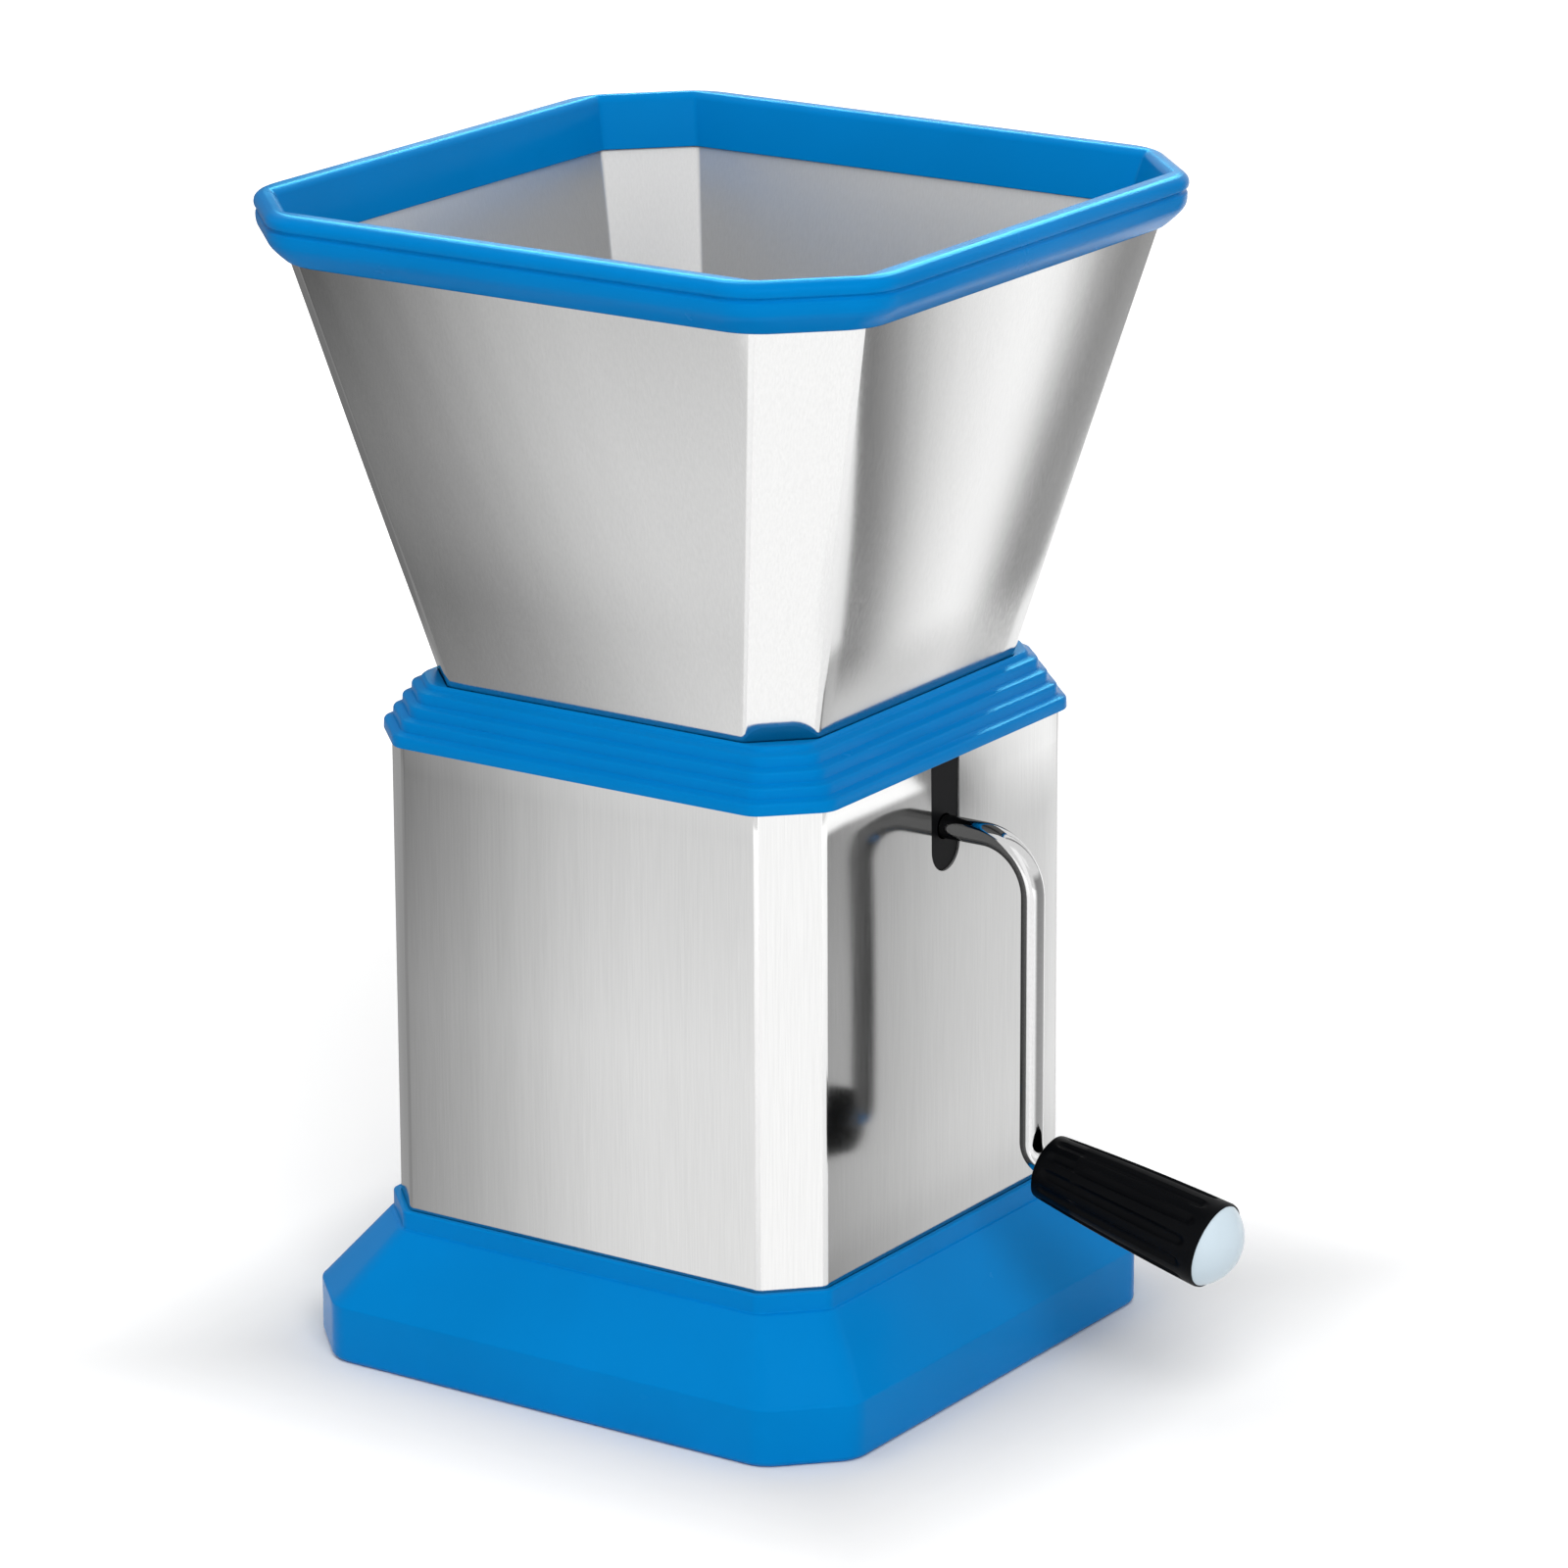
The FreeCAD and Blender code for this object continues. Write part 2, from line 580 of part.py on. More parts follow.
def clip(at, direction, outer_radius):
    """Retaining clip with a mouth on one side."""
    ring_shape = Part.makeCylinder(outer_radius, clip_thickness, at, direction)
    bore = Part.makeCylinder(rod_radius - groove_depth + fit_gap, 4, at - direction, direction)
    ring_shape = ring_shape.cut(bore)
    across = direction.cross(V(0, 1, 0)).normalize()
    mouth = Part.makeBox(2.6, 10, 6)
    mouth.translate(V(-1.3, -5, 0))
    mouth.Placement = FreeCAD.Placement(at, FreeCAD.Rotation(V(0, 1, 0).cross(across), V(0, 1, 0), across, "ZYX"))
    return ring_shape.cut(mouth)


rod = rod.cut(groove_ring(V(rod_clip_x - clip_thickness - fit_gap, 0, axis_z), V(1, 0, 0)))
washer_thickness = 0.8
spindle_clip_at = counterbore_from + washer_thickness + 2 * fit_gap
rod = rod.cut(groove_ring(grip_start + out_dir * (spindle_clip_at - fit_gap), out_dir))
write("crank_rod", rod)
write("rod_end_clip", clip(V(rod_clip_x, 0, axis_z), V(-1, 0, 0), clip_radius))
write("spindle_clip", clip(grip_start + out_dir * spindle_clip_at, out_dir, clip_radius))
washer_at = grip_start + out_dir * (counterbore_from + fit_gap)
washer_bore = Part.makeCylinder(rod_radius + fit_gap, 4, washer_at - out_dir, out_dir)
spindle_washer = Part.makeCylinder(spindle_washer_radius, washer_thickness, washer_at, out_dir)
write("spindle_washer", spindle_washer.cut(washer_bore))

# ---------------------------------------------------------------- rotor: cutter wheels and their stack
flat_hole = disc(rod_radius + fit_gap, -throat_half_x, throat_half_x).common(
    Part.makeBox(2 * throat_half_x, 4 * rod_radius, 2 * (flat_half + fit_gap),
                 V(-throat_half_x, -2 * rod_radius, axis_z - flat_half - fit_gap)))


def cutter_wheel(x, phase):
    """Star wheel: each hook has a straight cutting edge and a curved back."""
    edges = []
    pitch = 360.0 / wheel_teeth

    def at(radius, degrees):
        angle = math.radians(degrees)
        return V(0, radius * math.cos(angle), axis_z + radius * math.sin(angle))

    for i in range(wheel_teeth):
        a = phase + i * pitch
        root = at(wheel_root_radius, a)
        throat_point = at(wheel_root_radius + 3.2, a - 7)
        tip = at(wheel_tip_radius, a + 6)
        edges.append(Part.Arc(root, throat_point, tip).toShape())
        edges.append(Part.Arc(tip, at(wheel_tip_radius - 1.7, a + 34), at(wheel_root_radius, a + pitch)).toShape())
    blank = Part.Face(Part.Wire(edges)).extrude(V(wheel_thickness, 0, 0))
    blank.translate(V(x - wheel_thickness / 2, 0, 0))
    return blank.cut(flat_hole)


for i in range(wheel_count):
    x = wheel_reach - i * wheel_pitch
    write("cutter_wheel_" + str(i + 1), cutter_wheel(x, i * wheel_phase_step))
    if i < wheel_count - 1:
        spacer = disc(spacer_radius, x - wheel_pitch + wheel_thickness / 2, x - wheel_thickness / 2)
        write("wheel_spacer_" + str(i + 1), spacer.cut(flat_hole))

stack_near = wheel_reach + wheel_thickness / 2
stack_far = -stack_near
collar_near = bush_face - fit_gap
shaft_collar = disc(collar_radius, stack_near, collar_near).cut(disc(rod_radius + fit_gap, 0, throat_half_x))
screw_x = (stack_near + collar_near) / 2
shaft_collar = shaft_collar.cut(post(1.1, screw_x, 0, axis_z, axis_z + 2 * collar_radius))
write("shaft_collar", shaft_collar)
collar_screw = post(1.0, screw_x, 0, axis_z + rod_radius + 0.02, axis_z + collar_radius - 0.2)
collar_screw = collar_screw.cut(Part.makeBox(4, 0.4, 1, V(screw_x - 2, -0.2, axis_z + collar_radius - 0.8)))
write("collar_screw", collar_screw)

clamp_washer = disc(collar_radius, stack_far - 1.0, stack_far).cut(disc(rod_radius + fit_gap, -throat_half_x, 0))
write("clamp_washer", clamp_washer)
clamp_nut_at = V(stack_far - 1.0, 0, axis_z)
write("clamp_nut", hexagon(clamp_nut_flats, clamp_nut_height, clamp_nut_at, V(-1, 0, 0), rod_radius + fit_gap))

# ---------------------------------------------------------------- grip
# Drawn along +Z from the grip's inner end, then laid on the drooping spindle.
grip_place = FreeCAD.Placement(grip_start, FreeCAD.Rotation(V(0, 0, 1), out_dir))
bore_radius = rod_radius + run_gap
counterbore = cap_plug_radius + fit_gap
cap_seat = grip_length - cap_edge
taper = (grip_radius_far - grip_radius_near) / grip_length
profile = Part.Wire([
    Part.makeLine(V(bore_radius, 0, 4.6), V(bore_radius, 0, counterbore_from)),
    Part.makeLine(V(bore_radius, 0, counterbore_from), V(counterbore, 0, counterbore_from)),
    Part.makeLine(V(counterbore, 0, counterbore_from), V(counterbore, 0, cap_seat)),
    Part.makeLine(V(counterbore, 0, cap_seat), V(cap_radius - 0.3, 0, cap_seat)),
    Part.makeLine(V(cap_radius - 0.3, 0, cap_seat), V(cap_radius + fit_gap, 0, grip_length)),
    Part.makeLine(V(cap_radius + fit_gap, 0, grip_length), V(grip_radius_far - 0.3, 0, grip_length)),
    Part.Arc(V(grip_radius_far - 0.3, 0, grip_length), V(grip_radius_far, 0, grip_length - 0.4),
             V(grip_radius_far - 0.1, 0, grip_length - 1.4)).toShape(),
    Part.Arc(V(grip_radius_far - 0.1, 0, grip_length - 1.4),
             V(grip_radius_near + taper * 0.5 * grip_length + grip_bulge, 0, 0.5 * grip_length),
             V(grip_radius_near, 0, 1.0)).toShape(),
    Part.Arc(V(grip_radius_near, 0, 1.0), V(grip_radius_near - 0.3, 0, 0.3),
             V(grip_radius_near - 1.0, 0, 0)).toShape(),
    Part.makeLine(V(grip_radius_near - 1.0, 0, 0), V(4.7, 0, 0)),
    Part.makeLine(V(4.7, 0, 0), V(bore_radius, 0, 4.6))])
grip = Part.Face(profile).revolve(V(0, 0, 0), V(0, 0, 1), 360)
flutes = []
for i in range(grip_flutes):
    low = V(grip_radius_near + 1.15, 0, 3.5)
    high = V(grip_radius_far + 0.85, 0, grip_length - 4.5)
    run = high - low
    flute = Part.makeCylinder(grip_flute_radius, run.Length, low, run)
    flute = flute.fuse([Part.makeSphere(grip_flute_radius, low), Part.makeSphere(grip_flute_radius, high)])
    flute.rotate(V(0, 0, 0), V(0, 0, 1), (i + 0.5) * 360.0 / grip_flutes)
    flutes.append(flute)
grip = grip.cut(flutes)
grip.Placement = grip_place.multiply(grip.Placement)
write("crank_grip", grip)

cap_foot = cap_seat - cap_plug_length
cap_ball = (cap_radius ** 2 + cap_height ** 2) / (2 * cap_height)
cap_angle = math.asin(cap_radius / cap_ball) / 2
cap_mid = V(cap_ball * math.sin(cap_angle), 0,
            grip_length + cap_height - cap_ball * (1 - math.cos(cap_angle)))
cap_profile = Part.Wire([
    Part.makeLine(V(0, 0, cap_foot), V(cap_plug_radius - 0.6, 0, cap_foot)),
    Part.makeLine(V(cap_plug_radius - 0.6, 0, cap_foot), V(cap_plug_radius, 0, cap_foot + 0.6)),
    Part.makeLine(V(cap_plug_radius, 0, cap_foot + 0.6), V(cap_plug_radius, 0, cap_seat)),
    Part.makeLine(V(cap_plug_radius, 0, cap_seat), V(cap_radius - 0.4, 0, cap_seat)),
    Part.makeLine(V(cap_radius - 0.4, 0, cap_seat), V(cap_radius, 0, grip_length)),
    Part.Arc(V(cap_radius, 0, grip_length), cap_mid, V(0, 0, grip_length + cap_height)).toShape(),
    Part.makeLine(V(0, 0, grip_length + cap_height), V(0, 0, cap_foot))])
grip_cap = Part.Face(cap_profile).revolve(V(0, 0, 0), V(0, 0, 1), 360)
grip_cap.Placement = grip_place.multiply(grip_cap.Placement)
write("grip_cap", grip_cap)
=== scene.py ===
import bpy
import bmesh
from contextlib import contextmanager
from math import asin, atan2, cos, pi, radians, sin, sqrt, tan
from mathutils import Matrix, Vector


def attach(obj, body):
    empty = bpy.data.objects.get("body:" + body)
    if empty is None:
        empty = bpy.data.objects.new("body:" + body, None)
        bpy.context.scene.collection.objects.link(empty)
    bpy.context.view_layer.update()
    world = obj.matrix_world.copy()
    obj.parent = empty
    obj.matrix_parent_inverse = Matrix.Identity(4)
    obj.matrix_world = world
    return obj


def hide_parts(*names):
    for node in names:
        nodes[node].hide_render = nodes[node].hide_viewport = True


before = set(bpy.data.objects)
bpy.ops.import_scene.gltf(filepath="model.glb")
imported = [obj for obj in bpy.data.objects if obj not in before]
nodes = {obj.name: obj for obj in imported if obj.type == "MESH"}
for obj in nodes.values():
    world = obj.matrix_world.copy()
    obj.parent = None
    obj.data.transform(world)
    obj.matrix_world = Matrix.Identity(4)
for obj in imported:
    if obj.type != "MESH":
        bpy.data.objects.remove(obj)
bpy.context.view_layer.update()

mm = 0.001
print("frame loaded,", len(nodes), "CAD nodes")


class Settings(dict):
    # a dictionary whose values also read as attributes
    __getattr__ = dict.__getitem__

    def metres(self, *keys):
        return {key: self[key] * mm for key in keys}


# node trees

class Term:
    # an output in a node tree; arithmetic with it adds math nodes
    def __init__(self, tree, socket):
        self.tree, self.socket = tree, socket


for sign, operation in (("add", "ADD"), ("sub", "SUBTRACT"), ("mul", "MULTIPLY"), ("truediv", "DIVIDE"),
                        ("mod", "FLOORED_MODULO")):
    setattr(Term, f"__{sign}__", lambda term, other, act=operation: calc(act, term, other))
    setattr(Term, f"__r{sign}__", lambda term, other, act=operation: calc(act, other, term))


def fill(node, inputs):
    # sets or links sockets; a list holds several links to one socket
    for key, value in inputs.items():
        for one in value if isinstance(value, list) else [value]:
            if isinstance(one, Term):
                one.tree.links.new(one.socket, node.inputs[key])
            else:
                node.inputs[key].default_value = one


def wire(tree, kind, inputs=None, out=0, **options):
    # adds a node, sets its options, then its sockets; gives the output asked for, or a list for several
    node = tree.nodes.new(kind)
    for key, value in options.items():
        setattr(node, key, value)
    fill(node, inputs or {})
    if isinstance(out, tuple):
        return [Term(tree, node.outputs[key]) for key in out]
    return Term(tree, node.outputs[out])


def wireOf(kind, values, **options):
    # a node in the tree that its values come from
    tree = next(value.tree for value in values if isinstance(value, Term))
    return wire(tree, kind, dict(enumerate(values)), **options)


def calc(operation, *values):
    return wireOf("ShaderNodeMath", values, operation=operation)


def vectorCalc(operation, *values, out=0):
    return wireOf("ShaderNodeVectorMath", values, operation=operation, out=out)


def xyz(*parts):
    return wireOf("ShaderNodeCombineXYZ", parts)


def split(place):
    return wireOf("ShaderNodeSeparateXYZ", [place], out=(0, 1, 2))


def mapped(value, low, high, start, end):
    # low at the start, high at the end, and no further
    return wire(value.tree, "ShaderNodeMapRange", {"Value": value, "From Min": start, "From Max": end, "To Min": low,
                                                   "To Max": high})


def pick(index, choices):
    # the choice with that number
    node = index.tree.nodes.new("GeometryNodeIndexSwitch")
    node.data_type = "FLOAT"
    while len(node.index_switch_items) < len(choices):
        node.index_switch_items.new()
    fill(node, dict(enumerate([index, *choices])))
    return Term(index.tree, node.outputs[0])


def treeWith(name, sizes):
    # geometry tree with a geometry input and one named input for each size
    tree = bpy.data.node_groups.new(name, "GeometryNodeTree")
    tree.interface.new_socket("Geometry", in_out="INPUT", socket_type="NodeSocketGeometry")
    for label, value in sizes.items():
        kind = "NodeSocketInt" if isinstance(value, int) else "NodeSocketFloat"
        tree.interface.new_socket(label, in_out="INPUT", socket_type=kind).default_value = value
    tree.interface.new_socket("Geometry", in_out="OUTPUT", socket_type="NodeSocketGeometry")
    outputs = tree.nodes.new("NodeGroupInput").outputs
    return tree, Settings({name: Term(tree, outputs[name]) for name in ("Geometry", *sizes)})


def endTree(tree, geometry, material):
    real = wire(tree, "GeometryNodeRealizeInstances", {"Geometry": geometry})
    painted = wire(tree, "GeometryNodeSetMaterial", {"Geometry": real, "Material": material})
    wire(tree, "NodeGroupOutput", {0: painted}, out=())
    return tree


def runTree(piece, tree, sizes):
    change = piece.modifiers.new(tree.name, "NODES")
    change.node_group = tree
    for socket in tree.interface.items_tree:
        if socket.in_out == "INPUT" and socket.name in sizes:
            change[socket.identifier] = sizes[socket.name]
    return applied(piece)


def centredRow(count, pitch, axis):
    # points a pitch apart along X (axis 0) or Y (axis 1), centred on the origin
    start, step = (xyz(*(value if k == axis else 0.0 for k in range(3)))
                   for value in (pitch * (count - 1) * -0.5, pitch))
    sizes = {"Count": count, "Start Location": start, "Offset": step}
    return wire(count.tree, "GeometryNodeMeshLine", sizes, mode="OFFSET")


# meshes

@contextmanager
def editing(mesh):
    # an editable copy, written back at the end
    work = bmesh.new()
    work.from_mesh(mesh)
    yield work
    work.to_mesh(mesh)
    work.free()


def outwardFaces(work, distance=1e-7):
    bmesh.ops.remove_doubles(work, verts=work.verts, dist=distance)
    bmesh.ops.recalc_face_normals(work, faces=work.faces)


def smoothByAngle(mesh, degrees):
    # smooth everywhere but on edges sharper than the angle
    with editing(mesh) as work:
        for face in work.faces:
            face.smooth = True
        for edge in work.edges:
            edge.smooth = len(edge.link_faces) == 2 and edge.calc_face_angle(0) < radians(degrees)


def linkObject(name, data):
    piece = bpy.data.objects.new(name, data)
    bpy.context.scene.collection.objects.link(piece)
    return piece


def meshFrom(name, points, faces=(), edges=(), unit=mm):
    mesh = bpy.data.meshes.new(name)
    mesh.from_pydata([tuple(v * unit for v in p) for p in points], edges, faces)
    mesh.update()
    return mesh


def skin(name, rings, ends="capped"):
    # mesh through rings of points in mm; its two ends are capped, joined to each other or left open
    size, count = len(rings[0]), len(rings)
    faces = []
    for i in range(count if ends == "joined" else count - 1):
        a, b = i * size, (i + 1) % count * size
        faces += [(a + k, a + (k + 1) % size, b + (k + 1) % size, b + k) for k in range(size)]
    if ends == "capped":
        faces += [tuple(range(size - 1, -1, -1)), tuple(range((count - 1) * size, count * size))]
    mesh = meshFrom(name, [p for ring in rings for p in ring], faces)
    with editing(mesh) as work:
        outwardFaces(work)
    return mesh


def prism(name, outline, axis, low, high):
    # flat outline pushed along X, Y or Z
    place = {"X": lambda a, b, c: (c, a, b), "Y": lambda a, b, c: (a, c, b), "Z": lambda a, b, c: (a, b, c)}[axis]
    return skin(name, [[place(a, b, c) for a, b in outline] for c in (low, high)])


def boxMesh(name, low, high):
    (a, b, c), (d, e, f) = low, high
    return prism(name, [(a, b), (d, b), (d, e), (a, e)], "Z", c, f)


def turned(name, rows, ends="open"):
    # skin through rows of (radius, height) points that stand evenly about Z
    return skin(name, [[(r * cos(2 * pi * k / len(row)), r * sin(2 * pi * k / len(row)), z)
                        for k, (r, z) in enumerate(row)] for row in rows], ends)


def lathe(name, profile, count):
    # closed turned shape about Z from (radius, height) points that start and end on the axis
    return turned(name, [[spot] * count for spot in profile])


def inset(half, leg, distance):
    return half - distance, leg - distance * (2 - sqrt(2))


def outlinePoints(half, leg, radius, turns=6, columns=10):
    # rounded octagon, each flat side split into columns; gives the points and how strongly each leans out in a bulge
    corners = [Vector(c) for c in ((leg - half, -half), (half - leg, -half), (half, leg - half), (half, half - leg),
                                   (half - leg, half), (leg - half, half), (-half, half - leg), (-half, leg - half))]
    eighth = radians(45)
    trim = radius * tan(eighth / 2)
    points = []
    for i, here in enumerate(corners):
        after = corners[(i + 1) % 8]
        back, ahead = (corners[i - 1] - here).normalized(), (after - here).normalized()
        centre = here + (back + ahead).normalized() * radius / cos(eighth / 2)
        first = here + back * trim - centre
        points += [(centre + Matrix.Rotation(eighth * k / turns, 2) @ first, Vector((0, 0))) for k in range(turns + 1)]
        start, end, outward = here + ahead * trim, after - ahead * trim, Vector((ahead.y, -ahead.x))
        points += [(start.lerp(end, k / columns), outward * arch(k / columns)) for k in range(1, columns)]
    return points


def softened(sections, steps=4):
    # rounds a run of (half, leg, z, radius, reach) sections, each as far as its reach, which it leaves out
    rounded = []
    for i, (*spot, radius, reach) in enumerate(sections):
        if not reach:
            rounded.append((*spot, radius))
            continue
        a, b, c = (Vector(sections[j][:3]) for j in (i - 1, i, i + 1))
        reach = min(reach, (a - b).length * 0.45, (c - b).length * 0.45)
        start, end = b + (a - b).normalized() * reach, b + (c - b).normalized() * reach
        for t in (k / steps for k in range(steps + 1)):
            rounded.append((*(start * (1 - t) ** 2 + b * 2 * t * (1 - t) + end * t * t), radius))
    return rounded


def sweep(name, sections, ends="capped", pillow=lambda z: 0.0, turns=6, columns=10):
    # skin through (half, leg, z, radius) sections in mm; pillow gives how far the flat sides bulge at a height
    return skin(name, [[(*(spot + lean * pillow(z)), z)
                        for spot, lean in outlinePoints(half, leg, radius, turns, columns)]
                       for half, leg, z, radius in sections], ends)


def arch(share):
    # 0 at both ends of a run, 1 halfway
    return max(0.0, 1 - (2 * share - 1) ** 2)


def applied(piece):
    # the piece with its modifiers baked into a plain mesh
    graph = bpy.context.evaluated_depsgraph_get()
    mesh = bpy.data.meshes.new_from_object(piece.evaluated_get(graph), preserve_all_data_layers=True, depsgraph=graph)
    old = piece.data
    piece.modifiers.clear()
    piece.data = mesh
    if old.users == 0:
        bpy.data.meshes.remove(old)
    return piece


def cutBy(piece, cutter, operation="DIFFERENCE"):
    tool = linkObject("cutter", cutter)
    change = piece.modifiers.new("cut", "BOOLEAN")
    change.object, change.operation, change.solver = tool, operation, "EXACT"
    applied(piece)
    bpy.data.objects.remove(tool)
    return piece


def brokenEdges(mesh, size):
    # takes the sharpness off every edge
    with editing(mesh) as work:
        bmesh.ops.remove_doubles(work, verts=work.verts, dist=1e-6)
        bmesh.ops.dissolve_limit(work, angle_limit=radians(1), verts=work.verts, edges=work.edges)
        sharp = [e for e in work.edges if len(e.link_faces) == 2 and e.calc_face_angle(0) > radians(40)]
        bmesh.ops.bevel(work, geom=sharp, offset=size * mm, segments=1, affect="EDGES", clamp_overlap=True)
        bmesh.ops.recalc_face_normals(work, faces=work.faces)


def markInside(mesh):
    # 1 on every face that looks towards the vertical axis
    dull = mesh.attributes.new("inside", "FLOAT", "FACE")
    for face in mesh.polygons:
        dull.data[face.index].value = 1.0 if Vector((*face.center.xy, 0)).dot(face.normal) < 0 else 0.0


def cadName(name):
    # the frame's way of writing a camelCase name
    return "".join("_" + c.lower() if c.isupper() or c.isdigit() else c for c in name)


def finishPiece(piece, material, body, angle=None):
    # one material and one body; a piece named after a CAD node takes its place
    if angle:
        smoothByAngle(piece.data, angle)
    materials = piece.data.materials
    if not materials:
        materials.append(material)
    for i in range(len(materials)):
        materials[i] = material
    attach(piece, body)
    shared = {"gripPlastic": "black_plastic", "capPlastic": "white_plastic"}
    shared.get(material.name, cadName(material.name))
    if cadName(piece.name) in nodes:
        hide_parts(cadName(piece.name))
    return piece


# materials

def srgb(*parts):
    return tuple(((v / 255 + 0.055) / 1.055) ** 2.4 if v > 10 else v / 255 / 12.92 for v in parts) + (1.0,)


def surface(name, **values):
    material = bpy.data.materials.new(name)
    material.use_nodes = True
    shader = material.node_tree.nodes["Principled BSDF"]
    fill(shader, {key.replace("_", " "): value for key, value in values.items()})
    return material, shader, wire(material.node_tree, "ShaderNodeTexCoord", out="Object")


def noise(place, scale, detail, roughness=0.5):
    # noise in metres of object space; scale holds how often it changes along X, Y and Z
    mapping = wire(place.tree, "ShaderNodeMapping", {"Vector": place, "Scale": scale})
    return wire(place.tree, "ShaderNodeTexNoise", {"Vector": mapping, "Scale": 1.0, "Detail": detail,
                                                   "Roughness": roughness}, out="Fac")


def between(value, low, high):
    return mapped(value, low, high, 0.3, 0.7)


def blend(factor, a, b):
    return wire(factor.tree, "ShaderNodeMix", {"Factor": factor, 6: a, 7: b}, out=2, data_type="RGBA")


def raised(height, strength, distance):
    return wire(height.tree, "ShaderNodeBump", {"Height": height, "Strength": strength, "Distance": distance})


def toned(tone, factor):
    return tuple(min(1.0, v * factor) for v in tone[:3]) + (1.0,)


def metalFinish(name, tone, rough, grain, bump, smudge=0.04, duller=0.0, cloud=(34, 34, 26), shade=0.93, depth=0.00004):
    # rolled or ground metal: fine grain in one direction, cloudy handling marks over it
    material, shader, place = surface(name, Metallic=1.0)
    lines = noise(place, grain, 4.0, 0.65)
    total = between(lines, rough * 0.85, rough * 1.2) + between(noise(place, cloud, 3.0), -smudge / 2, smudge)
    if duller:  # the face attribute "inside" is 1 on walls that the polisher doesn't reach
        inside = wire(place.tree, "ShaderNodeAttribute", attribute_name="inside", out="Fac")
        total = calc("MULTIPLY_ADD", inside, duller, total)
        fill(shader, {"Metallic": calc("MULTIPLY_ADD", inside, -1.6 * duller, 1.0)})
    fill(shader, {"Roughness": calc("MAXIMUM", total, 0.02), "Normal": raised(lines, bump, depth),
                  "Base Color": blend(between(lines, 0.0, 1.0), toned(tone, shade), tone)})
    return material


def plasticFinish(name, tone, rough, specular, bump, variation=0.04, tint=(1, 1, 1, 1), pebble=900, depth=0.00005):
    # moulded plastic: slight colour drift, fine skin texture, a few duller rubbed places
    material, shader, place = surface(name, Specular_IOR_Level=specular, Specular_Tint=tint)
    drift, rubbed = noise(place, (28, 28, 28), 2.0), noise(place, (75, 75, 75), 4.0, 0.6)
    fill(shader, {"Base Color": blend(between(drift, 0.0, 1.0), toned(tone, 1 - variation), toned(tone, 1 + variation)),
                  "Roughness": between(rubbed, rough * 0.85, rough * 1.25),
                  "Normal": raised(noise(place, (pebble,) * 3, 2.0), bump, depth)})
    return material


steelSheet = metalFinish("steelSheet", (0.72, 0.72, 0.717, 1), 0.10, (2600, 2600, 60), 0.05, 0.02, duller=0.2)
frameSteel = metalFinish("frameSteel", (0.66, 0.66, 0.65, 1), 0.28, (60, 700, 700), 0.35)
cutterSteel = metalFinish("cutterSteel", (0.62, 0.62, 0.61, 1), 0.24, (120, 900, 900), 0.4)
spacerSteel = metalFinish("spacerSteel", (0.70, 0.70, 0.69, 1), 0.22, (900, 60, 60), 0.3)
fastenerSteel = metalFinish("fastenerSteel", (0.72, 0.72, 0.71, 1), 0.2, (400, 400, 400), 0.2)
rodChrome = metalFinish("rodChrome", (0.66, 0.66, 0.66, 1), 0.07, (1500, 1500, 1500), 0.03, 0.02)
bushBrass = metalFinish("bushBrass", (0.73, 0.52, 0.24, 1), 0.25, (900, 60, 60), 0.3)
bluePlastic = plasticFinish("bluePlastic", srgb(0, 127, 201), 0.22, 0.07, 0.04, tint=(0.2, 0.85, 1, 1))
blackPlastic = plasticFinish("blackPlastic", (0.002, 0.0022, 0.003, 1), 0.36, 0.08, 0.05)
gripPlastic = plasticFinish("gripPlastic", (0.001, 0.0013, 0.002, 1), 0.40, 0.06, 0.05)
capPlastic = plasticFinish("capPlastic", srgb(210, 226, 236), 0.2, 0.3, 0.03, variation=0.02)
print("materials made")


# plinth base

base = Settings(
    half=69.5, leg=14.5, foot=0.9, bandTop=12.6, skirtTop=27.8, skirtTopHalf=57.4, legShare=0.27, collarTop=31.9,
    collarHalf=56.6, collarLeg=11.04, collarInner=55.05, collarInnerLeg=10.28, floorTop=29.0, ceiling=26.4, wall=2.4,
    seatCorner=2.8, collarCorner=3.0, topCorner=6.0, corner=8.0, cavityCorner=2.5,
    ribCount=5, ribPitch=22.0, ribThickness=1.8, ribRecess=1.2, ribWall=1.5, ribHeadWall=1.4, ribBite=0.3)


def skirtHalf(z, wall):
    # half width between the skirt's inner faces at a height
    b = base
    slope = (b.half - b.skirtTopHalf) / (b.skirtTop - b.bandTop)
    return b.half - slope * (z - b.bandTop) - wall


def basePiece():
    b = base
    skirtLeg = b.leg - (b.half - b.skirtTopHalf) * b.legShare
    cavity = inset(b.half, b.leg, b.wall)
    mesh = sweep("plinthBase", softened([
        (b.collarInner, b.collarInnerLeg, b.floorTop, b.seatCorner, 0),
        (b.collarInner, b.collarInnerLeg, b.collarTop, b.seatCorner, 0.35),
        (b.collarHalf, b.collarLeg, b.collarTop, b.collarCorner, 0.45),
        (b.collarHalf, b.collarLeg, b.skirtTop + 0.1, b.collarCorner, 0.5),
        (b.skirtTopHalf - 0.1, skirtLeg, b.skirtTop, b.topCorner, 0.6),
        (b.half - 0.45, b.leg, b.bandTop + 0.5, b.corner, 0.5),
        (b.half, b.leg, b.bandTop, b.corner, 0.35),
        (b.half, b.leg, b.foot, b.corner, 0.5),
        (*inset(b.half, b.leg, b.foot), 0.0, b.corner, 0.4),
        (*cavity, 0.0, b.cavityCorner, 0.3),
        (*cavity, b.bandTop - 1.0, b.cavityCorner, 0.5),
        (skirtHalf(b.ceiling, b.wall), skirtLeg, b.ceiling, b.cavityCorner, 0)]), columns=4)
    return linkObject("plinthBase", mesh)


